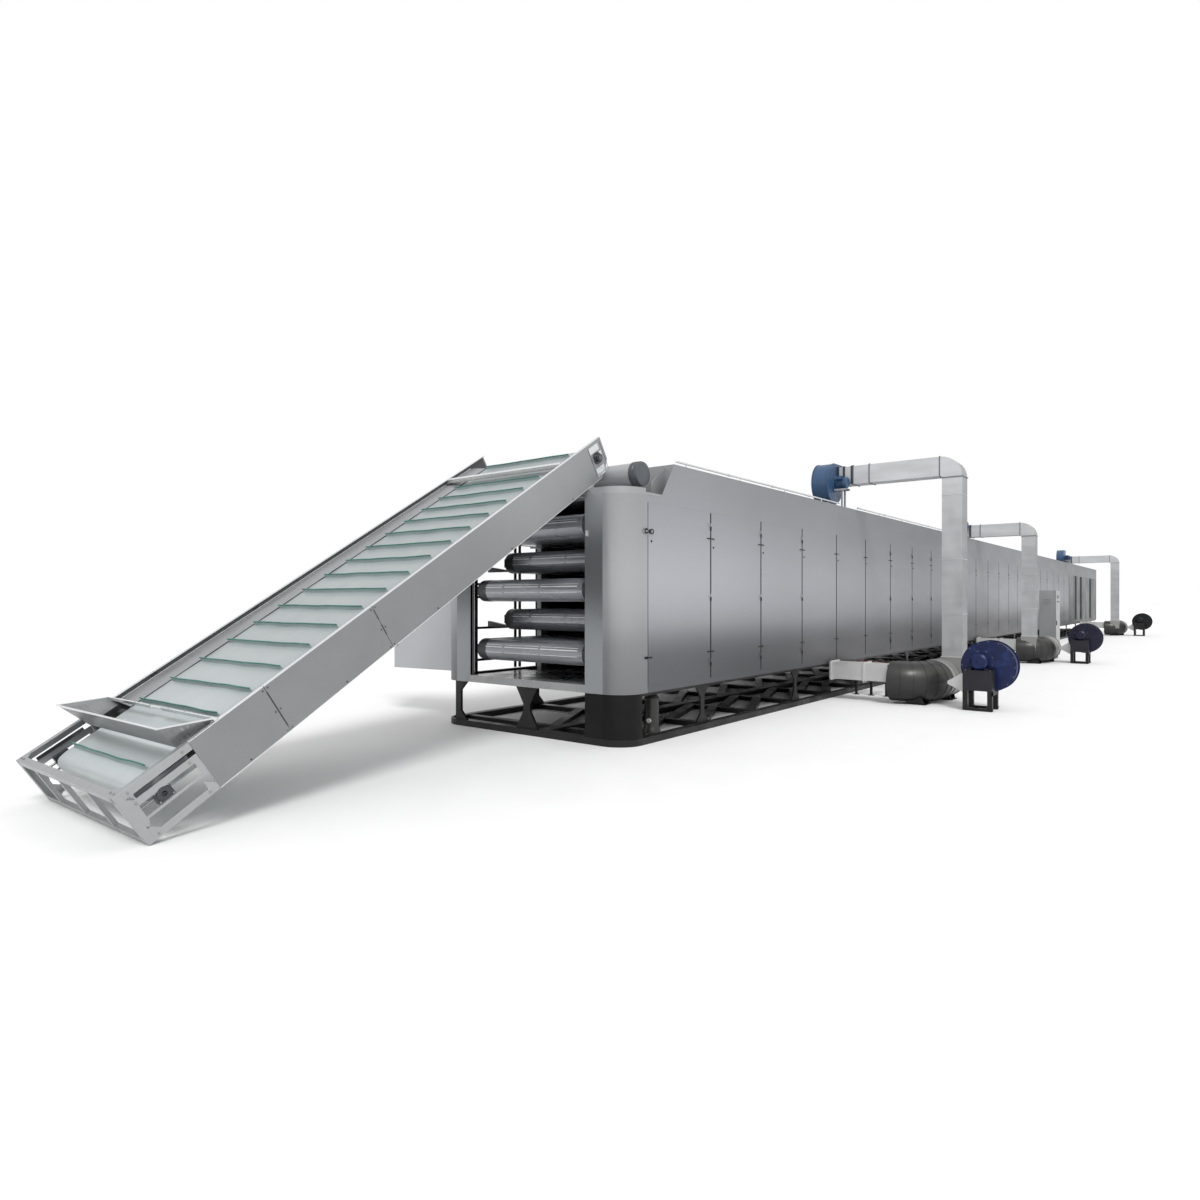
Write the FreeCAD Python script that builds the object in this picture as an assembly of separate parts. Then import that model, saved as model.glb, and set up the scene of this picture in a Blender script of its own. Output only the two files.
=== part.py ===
import FreeCAD, Part
import math
import os

V = FreeCAD.Vector

# Driving dimensions, millimetres. X runs along the line from the feed face, Y across it, Z up.
# The side with the blowers is the -Y side and is called near; the other side is called far.

# Cabinet
DOOR_PITCH = 1250
DOOR_COUNT = 30
CORNER_LENGTH = 390                 # from the feed face to the first door seam
CABINET_LENGTH = 2 * CORNER_LENGTH + DOOR_COUNT * DOOR_PITCH
HALF_WIDTH = 1365
CORNER_RADIUS = 280
BASE_HEIGHT = 520
CABINET_TOP = 2910
DECK_TOP = 2560                     # the low roof over the feed end
DECK_END = 880                      # where the full-height roof begins
SHEET = 4
MOUTH_HALF = 855                    # half the width of the open feed face
POST = 60
POST_FACE = 1315                    # |Y| of the outer face of the wall posts

# Base frame
RAIL_HEIGHT = 70
RAIL_WIDTH = 100
TOP_RAIL = 40
LATTICE_LIFT = 8

# Doors
DOOR_BOTTOM = 580
DOOR_TOP = 2460
DOOR_GAP = 6                        # half the gap at a seam
RIM = 40
MOVING_NEAR_DOORS = (0, 1, 2, 5, 6, 7, 8)
OPEN_FAR_DOOR = 0
FAR_DOOR_REST = 97                  # degrees open
HINGE_RADIUS = 7
HINGE_PIN = 4
HINGE_OUT = 8                       # pivot line in front of the door skin
HINGE_BACK = 4                      # pivot line from the seam, on the door's own side
HINGE_LENGTH = 38
HINGE_HEIGHTS = (760, 1500, 2300)

# Mesh belts
LAYER_COUNT = 5
LAYER_BOTTOM = 900                  # height of the lowest belt's centre
LAYER_PITCH = 335
DRUM_RADIUS = 118
BELT_GAP = 1
BELT_THICK = 4
BELT_HALF = 750
DRUM_SHAFT = 30
BLOCK = 100
BLOCK_INNER = 790
BLOCK_OUTER = 850
RUNNING_FIT = 0.05
OUT_DRUM = 155                      # drum centre from the end face, layers that reach out
IN_DRUM = 590                       # the same for the layers that stand back

# Feed conveyor, in its own frame: u up the slope, w square to it, both from the lower top corner
SLOPE = 32.07
FEED_DEPTH = 378
FEED_HALF = 870
FEED_CENTRE_Y = -45
FEED_TOP_X = -4345
PLATE_START = 500
PLATE_END = 5320
TAIL_U = 230
HEAD_U = 5167
ROLL_W = -171
ROLL_RADIUS = 84
ROLL_SHAFT = 25
FEED_BELT_HALF = 645
FLIGHT_PITCH = 265
FLIGHT_HEIGHT = 38
ANGLE_BAR = 50

# Air units
DUCT_SHIFTS = (0, 8050, 26000)
DUCT_LINES = (-3004, -2640, -2760)  # Y of each duct's near face
DUCT_TOPS = (3580, 3255, 3300)
RUN_ENDS = (-1390, -1270, -1100)    # where each cross run meets its roof fan's collar
DUCT_SIDE = 285
DUCT_X = 6000
HEATER_RADIUS = 285
HEATER_Z = 315
HEATER_Y = -2690
HEATER_TURN = 430
HEATER_X = 5200
HEATER_END = 6330
HEATER_SHIFTS = (0, 9000, 26950)
BLOWER_X = 5240
BLOWER_Y = -3505
BLOWER_Z = 580
BLOWER_RADIUS = 340
BLOWER_WIDTH = 220
BLOWER_SHIFTS = (0, 9750, 27360)
BLOWER_WHEEL = 225
BLOWER_MOTOR = 110
BLOWER_SHAFT = 25
EYE_SHIFT_Y = 75                    # the wheel's axis sits off the casing's centre
EYE_SHIFT_Z = 67
MOTOR_END = 215                     # how far a fan motor reaches from its casing
MOTOR_GAP = 15
FAN_X = 5900
FAN_RADIUS = 325
FAN_WIDTH = 260
FAN_WHEEL = 270
ROOF_MOTOR = 92
ROOF_SHAFT = 20
COLLAR = 250                        # from the end of a cross run to the fan's side


def box(x0, x1, y0, y1, z0, z1):
    """A block between two corners."""
    return Part.makeBox(x1 - x0, y1 - y0, z1 - z0, V(x0, y0, z0))


def sheet_box(x0, x1, y0, y1, z0, z1, wall, open_axis):
    """Four thin walls round a passage along one axis."""
    walls = []
    if open_axis == "z":
        walls += [box(x0, x1, y0, y0 + wall, z0, z1), box(x0, x1, y1 - wall, y1, z0, z1)]
        inner = (y0 + wall, y1 - wall, z0, z1)
    else:
        walls += [box(x0, x1, y0, y1, z0, z0 + wall), box(x0, x1, y0, y1, z1 - wall, z1)]
        inner = (y0, y1, z0 + wall, z1 - wall)
    return walls + [box(x0, x0 + wall, *inner), box(x1 - wall, x1, *inner)]


def rod(start, axis, radius, length):
    """A round bar from start along axis."""
    return Part.makeCylinder(radius, length, V(*start), V(*axis))


def pipe(start, axis, outer, inner, length):
    """A round tube from start along axis."""
    return rod(start, axis, outer, length).cut(rod(start, axis, inner, length))


def prism(points, direction):
    """A flat outline pushed along a direction."""
    corners = [V(*p) for p in points]
    return Part.Face(Part.makePolygon(corners + corners[:1])).extrude(V(*direction))


def mirrored(shape):
    """The same piece on the other side of the line."""
    return shape.mirror(V(0, 0, 0), V(0, 1, 0))


def both_sides(shapes):
    """Near pieces and their far copies."""
    return shapes + [mirrored(s) for s in shapes]


def moved(shape, x=0, y=0, z=0):
    copy = shape.copy()
    copy.translate(V(x, y, z))
    return copy


def save(name, solids):
    """Write one named sub-part."""
    shape = solids[0] if len(solids) == 1 else Part.makeCompound(solids)
    shape.exportStep("parts/%s.step" % name)


def seam(index):
    return CORNER_LENGTH + index * DOOR_PITCH


# ---------------------------------------------------------------- base frame

def base_rails():
    inner = HALF_WIDTH - RAIL_WIDTH
    start = CORNER_RADIUS
    end = CABINET_LENGTH
    cross_half = HALF_WIDTH - CORNER_RADIUS
    rails = both_sides([
        box(start, end, -HALF_WIDTH, -inner, 0, RAIL_HEIGHT),
        box(start, end, -HALF_WIDTH + 60, -inner + 60, BASE_HEIGHT - TOP_RAIL, BASE_HEIGHT),
    ])
    rails.append(box(RAIL_WIDTH, end, -280, -120, 0, RAIL_HEIGHT))
    rails.append(box(0, RAIL_WIDTH, -cross_half, cross_half, 0, RAIL_HEIGHT))
    return rails


def slanting_bar(x0, y0, x1, y1, width, z0, z1):
    """A flat bar between two cross beams, its ends square to X."""
    outline = [(x0, y0, z0), (x1, y1, z0), (x1, y1 + width, z0), (x0, y0 + width, z0)]
    return prism(outline, (0, 0, z1 - z0))


def base_lattice():
    beam = 50
    low = LATTICE_LIFT
    high = RAIL_HEIGHT - LATTICE_LIFT
    rail_edge = HALF_WIDTH - RAIL_WIDTH
    solids = []
    for index in range(1, DOOR_COUNT + 1):
        x = seam(index)
        solids.append(box(x - beam, x + beam, -rail_edge, -280, low, high))
        solids.append(box(x - beam, x + beam, -120, rail_edge, low, high))
        left = x - DOOR_PITCH + beam
        right = x - beam
        solids.append(slanting_bar(left, -rail_edge, right, -760, 130, low, high))
        solids.append(slanting_bar(left, -820, right, -410, 130, low, high))
        solids.append(slanting_bar(left, -120, right, 480, 130, low, high))
    x = seam(0)
    solids.append(box(x - beam, x + beam, -rail_edge, -280, low, high))
    solids.append(box(x - beam, x + beam, -120, rail_edge, low, high))
    return solids


def bow_tie_leg(x, y_outer, thick):
    """A leg plate that widens at its top and bottom, standing in the XZ plane."""
    z0 = RAIL_HEIGHT
    z1 = BASE_HEIGHT - TOP_RAIL
    half = 40
    wide = 140
    flare = 110
    outline = [(x - wide, z0), (x + wide, z0), (x + half, z0 + flare), (x + half, z1 - flare),
               (x + wide, z1), (x - wide, z1), (x - half, z1 - flare), (x - half, z0 + flare)]
    return prism([(px, y_outer, pz) for px, pz in outline], (0, thick, 0))


def base_legs():
    legs = []
    for index in range(1, DOOR_COUNT + 1, 2):
        legs.append(bow_tie_leg(seam(index) - 60, -HALF_WIDTH + 70, 20))
    return both_sides(legs)


def front_leg(y, half, wide):
    """The same leg plate across the feed face, in the YZ plane."""
    z0 = RAIL_HEIGHT
    z1 = BASE_HEIGHT
    flare = 185
    outline = [(y - wide, z0), (y + wide, z0), (y + half, z0 + flare), (y + half, z1 - flare),
               (y + wide, z1), (y - wide, z1), (y - half, z1 - flare), (y - half, z0 + flare)]
    return prism([(20, py, pz) for py, pz in outline], (30, 0, 0))


def base_front_legs():
    edge = HALF_WIDTH - CORNER_RADIUS
    outer = edge + 45
    half_leg = [(outer, RAIL_HEIGHT), (edge - 150, RAIL_HEIGHT), (edge - 45, RAIL_HEIGHT + 105),
                (edge - 45, BASE_HEIGHT - 105), (edge - 150, BASE_HEIGHT), (outer, BASE_HEIGHT)]
    corner_leg = prism([(20, py, pz) for py, pz in half_leg], (30, 0, 0))
    return [front_leg(-20, 50, 160), corner_leg]


def corner_skin(z0, z1, side_end):
    """A bent sheet round the near front corner: face strip, quarter bend, side strip."""
    cx = CORNER_RADIUS
    cy = -HALF_WIDTH + CORNER_RADIUS
    height = z1 - z0
    bend = pipe((cx, cy, z0), (0, 0, 1), CORNER_RADIUS, CORNER_RADIUS - SHEET, height)
    quarter = box(0, cx, -HALF_WIDTH, cy, z0, z1)
    bend = bend.common(quarter)
    face = box(0, SHEET, cy, -MOUTH_HALF, z0, z1)
    side = box(cx, side_end, -HALF_WIDTH, -HALF_WIDTH + SHEET, z0, z1)
    return face.fuse([bend, side]).removeSplitter()


def corner_skirts():
    side_end = CORNER_RADIUS + 10
    near = corner_skin(0, BASE_HEIGHT, side_end)
    rail_cut = box(CORNER_RADIUS, side_end, -HALF_WIDTH, -1200, 0, RAIL_HEIGHT)
    cross_cut = box(0, SHEET, -HALF_WIDTH + CORNER_RADIUS, -MOUTH_HALF, 0, RAIL_HEIGHT)
    near = near.cut(rail_cut).cut(cross_cut)
    far_bend = pipe((CORNER_RADIUS, HALF_WIDTH - CORNER_RADIUS, 0), (0, 0, 1),
                    CORNER_RADIUS, CORNER_RADIUS - SHEET, RAIL_HEIGHT)
    far = far_bend.common(box(0, CORNER_RADIUS, HALF_WIDTH - CORNER_RADIUS, HALF_WIDTH, 0, RAIL_HEIGHT))
    return [near, far]


# ---------------------------------------------------------------- cabinet

def corner_panels():
    near = corner_skin(BASE_HEIGHT, DECK_TOP - 30, CORNER_LENGTH - DOOR_GAP)
    return [near, mirrored(near)]


def rear_panel():
    """The end wall with the discharge mouth and its two bends."""
    x1 = CABINET_LENGTH
    x0 = x1 - SHEET
    flat = HALF_WIDTH - CORNER_RADIUS
    mouth_low = 620
    mouth_high = 1130
    panels = [
        box(x0, x1, -flat, flat, mouth_high, CABINET_TOP - SHEET),
        box(x0, x1, -flat, flat, BASE_HEIGHT, mouth_low),
        box(x0, x1, -flat, -MOUTH_HALF, mouth_low, mouth_high),
        box(x0, x1, MOUTH_HALF, flat, mouth_low, mouth_high),
    ]
    cx = x1 - CORNER_RADIUS
    bend = pipe((cx, -flat, BASE_HEIGHT), (0, 0, 1), CORNER_RADIUS, CORNER_RADIUS - SHEET,
                CABINET_TOP - SHEET - BASE_HEIGHT)
    bend = bend.common(box(cx, x1, -HALF_WIDTH, -flat, BASE_HEIGHT, CABINET_TOP))
    last = seam(DOOR_COUNT) + DOOR_GAP
    side = box(last, cx, -HALF_WIDTH, -HALF_WIDTH + SHEET, BASE_HEIGHT, CABINET_TOP - SHEET)
    back = x0 - 480
    chute = prism([(back, -800, 740), (back, -800, 744), (x0, -800, 630), (x0, -800, 626)], (0, 1600, 0))
    return panels + [chute] + both_sides([bend.fuse(side).removeSplitter()])


def wall_posts():
    posts = []
    for index in range(DOOR_COUNT + 1):
        x = seam(index)
        top = DECK_TOP - 30 if index == 0 else CABINET_TOP - SHEET
        posts.append(box(x - POST / 2, x + POST / 2, -POST_FACE, -POST_FACE + POST, BASE_HEIGHT, top))
    solids = both_sides(posts)
    for index in MOVING_NEAR_DOORS:
        solids += hinge_pins(seam(index + 1) - HINGE_BACK, 4)
    solids += [mirrored(s) for s in hinge_pins(seam(OPEN_FAR_DOOR) + HINGE_BACK, -4)]
    return solids


def side_fascias():
    """The fixed band over the doors, its inner rail, and the sill rail under the doors."""
    first = seam(0) - DOOR_GAP
    last = seam(DOOR_COUNT) + DOOR_GAP
    outer = -HALF_WIDTH
    band = prism([(first, outer, DOOR_TOP), (last, outer, DOOR_TOP), (last, outer, CABINET_TOP - SHEET),
                  (DECK_END, outer, CABINET_TOP - SHEET), (DECK_END - 250, outer, DECK_TOP - 30),
                  (first, outer, DECK_TOP - 30)], (0, SHEET, 0))
    rail = box(first, last, outer + SHEET, -POST_FACE, DOOR_TOP + 10, DOOR_TOP + 60)
    sill = box(first, last, outer, -POST_FACE, BASE_HEIGHT, DOOR_BOTTOM - DOOR_GAP)
    return both_sides([band, rail, sill])


def floor_and_tray():
    inner = POST_FACE - POST
    floor_top = BASE_HEIGHT + 8
    edge = HALF_WIDTH - CORNER_RADIUS
    floor = box(SHEET, CABINET_LENGTH - SHEET, -edge, edge, BASE_HEIGHT, floor_top)
    bend_end = CABINET_LENGTH - CORNER_RADIUS
    wings = both_sides([box(CORNER_RADIUS, bend_end, -inner, -edge, BASE_HEIGHT, floor_top)])
    lip = box(0, SHEET, -MOUTH_HALF, MOUTH_HALF, BASE_HEIGHT, 600)
    tray = box(SHEET, DECK_END, -MOUTH_HALF, MOUTH_HALF, 592, 600)
    return [floor, lip, tray] + wings


def slope_underside(x):
    """Height of the feed conveyor's lower edge above a place on the floor."""
    start = FEED_TOP_X + FEED_DEPTH * math.sin(math.radians(SLOPE))
    return (x - start) * math.tan(math.radians(SLOPE))


def feed_portal():
    """The folded box over the mouth, its posts, the low deck with its feed slot, the conveyor's rests."""
    low = DECK_TOP - 30
    edge = HALF_WIDTH - CORNER_RADIUS
    top = DECK_TOP + 36
    header = box(0, 60, -edge, edge, low, top)
    wings = both_sides([box(60, DECK_END, -1250, -760, low + 2, DECK_TOP)])
    rear = box(330, DECK_END, -760, 760, low + 2, DECK_TOP)
    inside = HALF_WIDTH - SHEET
    bulkhead = box(DECK_END, DECK_END + SHEET, -inside, inside, low + 2, CABINET_TOP - SHEET)
    ledges = both_sides([box(CORNER_RADIUS + 10, DECK_END, -inside, -1250, low + 2, DECK_TOP)])
    posts = both_sides([box(SHEET, SHEET + POST, -MOUTH_HALF - 75, -MOUTH_HALF, 600, low)])
    rests = []
    for y in (-FEED_HALF, FEED_HALF - SHEET):
        y += FEED_CENTRE_Y - 20
        wedge = [(5, y, top), (55, y, top), (55, y, slope_underside(55)), (5, y, slope_underside(5))]
        rests.append(prism(wedge, (0, 44, 0)))
    return [header, rear, bulkhead] + wings + ledges + posts + rests


def roof_panels():
    panels = []
    step = 5 * DOOR_PITCH
    for index in range(6):
        x0 = DECK_END if index == 0 else seam(index * 5)
        x1 = seam(index * 5) + step if index < 5 else CABINET_LENGTH - CORNER_RADIUS
        panels.append(box(x0, x1, -HALF_WIDTH, HALF_WIDTH, CABINET_TOP - SHEET, CABINET_TOP))
    end_half = HALF_WIDTH - CORNER_RADIUS
    panels.append(box(CABINET_LENGTH - CORNER_RADIUS, CABINET_LENGTH, -end_half, end_half,
                      CABINET_TOP - SHEET, CABINET_TOP))
    return panels


def roof_pipe():
    """A thin steam and cable pipe on short stools along the near roof edge."""
    y = -HALF_WIDTH + 55
    z = CABINET_TOP + 50
    stools = [rod((x, y, CABINET_TOP), (0, 0, 1), 8, 38) for x in range(1200, 12000, 1250) if x != 6200]
    return [rod((1000, y, z), (1, 0, 0), 12, 4650), rod((6420, y, z), (1, 0, 0), 12, 5280)] + stools


def feed_tube():
    """The round tube across the feed end with its end caps and brackets."""
    x = 450
    z = 2765
    tube = pipe((x, -1160, z), (0, 1, 0), 122, 116, 2320)
    caps = both_sides([rod((x, -1275, z), (0, 1, 0), 132, 115)])
    brackets = both_sides([
        box(x - 60, x + 60, -1150, -1120, DECK_TOP, z - 124),
        prism([(600, -1262, 2560), (870, -1262, 2560), (870, -1262, 2880), (600, -1262, 2700)], (0, 3, 0)),
    ])
    return [tube] + caps + brackets


# ---------------------------------------------------------------- doors

def door_leaf():
    """A closed near door at the first seam: skin, folded rim, two latches, lock and hinge barrels."""
    x0 = seam(0) + DOOR_GAP
    x1 = seam(1) - DOOR_GAP
    y0 = -HALF_WIDTH
    skin = box(x0, x1, y0, y0 + SHEET, DOOR_BOTTOM, DOOR_TOP - DOOR_GAP)
    back = y0 + RIM
    low = DOOR_BOTTOM
    high = DOOR_TOP - DOOR_GAP
    bars = [
        box(x0, x0 + 25, y0 + SHEET, back, low, high),
        box(x1 - 25, x1, y0 + SHEET, back, low, high),
        box(x0 + 25, x1 - 25, y0 + SHEET, back, low, low + 25),
        box(x0 + 25, x1 - 25, y0 + SHEET, back, high - 25, high),
    ]
    barrels = []
    pivot = seam(1) - HINGE_BACK
    for z in HINGE_HEIGHTS:
        strap = box(x1 - 45, pivot, y0 - 3, y0, z, z + HINGE_LENGTH)
        barrel = strap.fuse(rod((pivot, y0 - HINGE_OUT, z), (0, 0, 1), HINGE_RADIUS, HINGE_LENGTH))
        hole = rod((pivot, y0 - HINGE_OUT, z), (0, 0, 1), HINGE_PIN + RUNNING_FIT, HINGE_LENGTH)
        barrels.append(barrel.cut(hole))
    return [skin] + bars + barrels + door_furniture(x0, y0)


def hinge_pins(x, seam_side):
    """Three knuckles with their pins on leaves that reach through the seam to the wall post."""
    y = -HALF_WIDTH - HINGE_OUT
    pins = []
    for z in HINGE_HEIGHTS:
        low = z - 46
        leaf = box(min(x, x + seam_side), max(x, x + seam_side), y, -POST_FACE, low, z - 1)
        knuckle = rod((x, y, low), (0, 0, 1), HINGE_RADIUS, 45)
        pin = rod((x, y, z - 1), (0, 0, 1), HINGE_PIN, HINGE_LENGTH)
        pins.append(leaf.fuse([knuckle, pin]))
    return pins


def door_furniture(x0, y0):
    latches = [box(x0 + 2, x0 + 70, y0 - 22, y0, z - 12, z + 12) for z in (877, 2162)]
    lock = rod((x0 + 55, y0 - 12, 2064), (0, 1, 0), 14, 12)
    return latches + [lock]


def fixed_doors():
    """The doors that stay shut here: skin with a stiffening rail behind it, and its latches."""
    x0 = seam(0) + DOOR_GAP
    x1 = seam(1) - DOOR_GAP
    y0 = -HALF_WIDTH
    leaf = [
        box(x0, x1, y0, y0 + SHEET, DOOR_BOTTOM, DOOR_TOP - DOOR_GAP),
        box(x0, x1, y0 + SHEET, -POST_FACE, 1480, 1530),
    ] + door_furniture(x0, y0)
    solids = []
    for index in range(DOOR_COUNT):
        placed = [moved(s, index * DOOR_PITCH) for s in leaf]
        if index not in MOVING_NEAR_DOORS:
            solids += placed
        if index != OPEN_FAR_DOOR:
            solids += [mirrored(s) for s in placed]
    return solids


def open_far_door():
    """The first far door, hinged at the feed corner and standing open."""
    x0 = seam(0) + DOOR_GAP
    x1 = seam(1) - DOOR_GAP
    hinge = V(seam(OPEN_FAR_DOOR) + HINGE_BACK, HALF_WIDTH + HINGE_OUT, 0)
    solids = []
    for solid in door_leaf():
        turned = solid.mirror(V((x0 + x1) / 2, 0, 0), V(1, 0, 0))
        turned = mirrored(turned)
        turned.rotate(hinge, V(0, 0, 1), FAR_DOOR_REST)
        solids.append(turned)
    return solids


# ---------------------------------------------------------------- mesh belts

def layer_height(layer):
    return LAYER_BOTTOM + layer * LAYER_PITCH


def layer_ends(layer):
    """X of the front and rear drum axes: every other layer stands back to catch the fall."""
    if layer % 2 == 0:
        return OUT_DRUM, CABINET_LENGTH - IN_DRUM
    return IN_DRUM, CABINET_LENGTH - OUT_DRUM


def belt_loop(x0, x1, z, half, radius, thick):
    """Two straight runs and two half wraps, in the XZ plane."""
    outer = radius + thick
    runs = [
        box(x0, x1, -half, half, z + radius, z + outer),
        box(x0, x1, -half, half, z - outer, z - radius),
    ]
    wraps = []
    for x, low, high in ((x0, x0 - outer, x0), (x1, x1, x1 + outer)):
        ring = pipe((x, -half, z), (0, 1, 0), outer, radius, 2 * half)
        wraps.append(ring.common(box(low, high, -half, half, z - outer, z + outer)))
    return runs + wraps


def mesh_belts():
    solids = []
    for layer in range(LAYER_COUNT):
        x0, x1 = layer_ends(layer)
        solids += belt_loop(x0, x1, layer_height(layer), BELT_HALF, DRUM_RADIUS + BELT_GAP, BELT_THICK)
    return solids


def belt_drum(x, z):
    tube = pipe((x, -BELT_HALF, z), (0, 1, 0), DRUM_RADIUS, DRUM_RADIUS - 6, 2 * BELT_HALF)
    discs = both_sides([pipe((x, -BELT_HALF, z), (0, 1, 0), DRUM_RADIUS - 6, DRUM_SHAFT, 12)])
    shaft = rod((x, -BLOCK_OUTER - 15, z), (0, 1, 0), DRUM_SHAFT, 2 * (BLOCK_OUTER + 15))
    return [tube, shaft] + discs


def belt_frames():
    """Bearing blocks at the drums and the side rails that carry each layer."""
    solids = []
    half = BLOCK / 2
    for layer in range(LAYER_COUNT):
        x0, x1 = layer_ends(layer)
        z = layer_height(layer)
        for x in (x0, x1):
            block = box(x - half, x + half, -BLOCK_OUTER, -BLOCK_INNER, z - half, z + half)
            solids.append(block.cut(rod((x, -BLOCK_OUTER, z), (0, 1, 0), DRUM_SHAFT + RUNNING_FIT, BLOCK)))
        solids.append(box(x0 + half, x1 - half, -BLOCK_OUTER, -BLOCK_INNER, z + 20, z + 60))
        solids.append(box(x0 + half, x1 - half, -BLOCK_OUTER, -BLOCK_INNER, z - 60, z - 20))
    return both_sides(solids)


def belt_hangers():
    """Cross ties from the wall posts to the belt rails, one pair per second bay."""
    ties = []
    for layer in range(LAYER_COUNT):
        z = layer_height(layer)
        for index in range(1, DOOR_COUNT, 3):
            x = seam(index)
            ties.append(box(x - 15, x + 15, -POST_FACE + POST, -BLOCK_OUTER, z - 60, z + 60))
    return both_sides(ties)


# ---------------------------------------------------------------- feed conveyor

def on_slope(solids):
    """From the conveyor's own frame to its place: turned up the slope, lower corner on the floor."""
    placed = []
    for solid in solids:
        copy = solid.copy()
        copy.rotate(V(0, 0, 0), V(0, 1, 0), -SLOPE)
        copy.translate(V(FEED_TOP_X, FEED_CENTRE_Y, FEED_DEPTH * math.cos(math.radians(SLOPE))))
        placed.append(copy)
    return placed


def feed_side_plates():
    outer = -FEED_HALF
    outline = [(PLATE_START, 0), (PLATE_END, 0), (PLATE_END, -240), (PLATE_END - 100, -346),
               (PLATE_END - 180, -FEED_DEPTH), (PLATE_START, -FEED_DEPTH)]
    plate = prism([(u, outer, w) for u, w in outline], (0, SHEET, 0))
    shaft_hole = rod((HEAD_U, outer - 1, ROLL_W), (0, 1, 0), ROLL_SHAFT + RUNNING_FIT, SHEET + 2)
    plate = plate.cut(shaft_hole)
    flange = box(PLATE_START, PLATE_END, outer + SHEET, outer + 34, -SHEET, 0)
    return on_slope(both_sides([plate, flange]))


def feed_skirts():
    """Leaning guide strips that keep the product on the belt."""
    wall = -FEED_HALF + SHEET
    lean = prism([(740, wall, -45), (740, wall, -49), (740, -640, -74), (740, -640, -70)], (4330, 0, 0))
    return on_slope(both_sides([lean]))


def feed_foot():
    """The open lower frame: side angles, end bars with corner gussets, take-up plates."""
    outer = -FEED_HALF
    depth = FEED_DEPTH
    bar = ANGLE_BAR
    side = [
        box(bar, PLATE_START, outer, outer + SHEET, -bar, 0),
        box(bar, PLATE_START, outer, outer + SHEET, -depth, -depth + bar),
        box(0, bar, outer, outer + SHEET, -depth, 0),
        box(bar, PLATE_START, outer, outer + SHEET, -250, -100).cut(
            box(120, 460, outer, outer + SHEET, ROLL_W - 26, ROLL_W + 26)),
    ]
    inner = outer + SHEET
    span = -2 * inner
    solids = both_sides(side)
    for w in (-SHEET, -depth):
        outline = [(0, inner, w), (0, inner + span, w), (bar + 70, inner + span, w),
                   (bar, inner + span - 110, w), (bar, inner + 110, w), (bar + 70, inner, w)]
        solids.append(prism(outline, (0, 0, SHEET)))
    for y in (-420, 60, 520):
        solids.append(box(0, SHEET, y, y + 30, -depth + SHEET, -SHEET))
    return on_slope(solids)


def feed_bed():
    """The slider bed under the carrying run and the ties between the side plates."""
    wall = FEED_HALF - SHEET
    bed = box(640, 4980, -700, 700, -115, -111)
    ties = [box(u, u + 40, -wall, wall, -155, -115) for u in range(700, 4960, 850)]
    braces = [box(u, u + 40, -wall, wall, -372, -332) for u in range(700, 5000, 850)]
    return on_slope([bed] + ties + braces)


def feed_bearings():
    """Head and tail bearing blocks, and the geared motor on the far end of the head shaft."""
    outer = -FEED_HALF
    head = box(HEAD_U - 55, HEAD_U + 55, outer - 40, outer, ROLL_W - 55, ROLL_W + 55)
    head = head.cut(rod((HEAD_U, outer - 50, ROLL_W), (0, 1, 0), ROLL_SHAFT + RUNNING_FIT, 60))
    tail = box(TAIL_U - 50, TAIL_U + 50, outer + SHEET, outer + 50, ROLL_W - 50, ROLL_W + 50)
    tail = tail.cut(rod((TAIL_U, outer, ROLL_W), (0, 1, 0), ROLL_SHAFT + RUNNING_FIT, 60))
    gearbox = box(HEAD_U - 75, HEAD_U + 75, FEED_HALF + 40, FEED_HALF + 125, ROLL_W - 75, ROLL_W + 75)
    gearbox = gearbox.cut(rod((HEAD_U, FEED_HALF, ROLL_W), (0, 1, 0), ROLL_SHAFT + RUNNING_FIT, 130))
    motor = rod((HEAD_U - 375, FEED_HALF + 82, ROLL_W), (1, 0, 0), 65, 300)
    return on_slope(both_sides([head, tail]) + [gearbox, motor])


def feed_roller(u, near_end, far_end):
    tube = pipe((u, -FEED_BELT_HALF, ROLL_W), (0, 1, 0), ROLL_RADIUS, ROLL_RADIUS - 5, 2 * FEED_BELT_HALF)
    discs = both_sides([pipe((u, -FEED_BELT_HALF, ROLL_W), (0, 1, 0), ROLL_RADIUS - 5, ROLL_SHAFT, 10)])
    shaft = rod((u, -near_end, ROLL_W), (0, 1, 0), ROLL_SHAFT, near_end + far_end)
    return on_slope([tube, shaft] + discs)


def feed_belt():
    radius = ROLL_RADIUS + BELT_GAP
    outer = radius + BELT_THICK
    solids = belt_loop(TAIL_U, HEAD_U, ROLL_W, FEED_BELT_HALF, radius, BELT_THICK)
    count = int((HEAD_U - TAIL_U) / FLIGHT_PITCH)
    half = FEED_BELT_HALF - 25
    for index in range(count + 1):
        u = TAIL_U + 60 + index * FLIGHT_PITCH
        top = ROLL_W + outer
        solids.append(box(u, u + 5, -half, half, top, top + FLIGHT_HEIGHT))
        bottom = ROLL_W - outer
        solids.append(box(u, u + 5, -half, half, bottom - FLIGHT_HEIGHT, bottom))
    return on_slope(solids)


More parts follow.
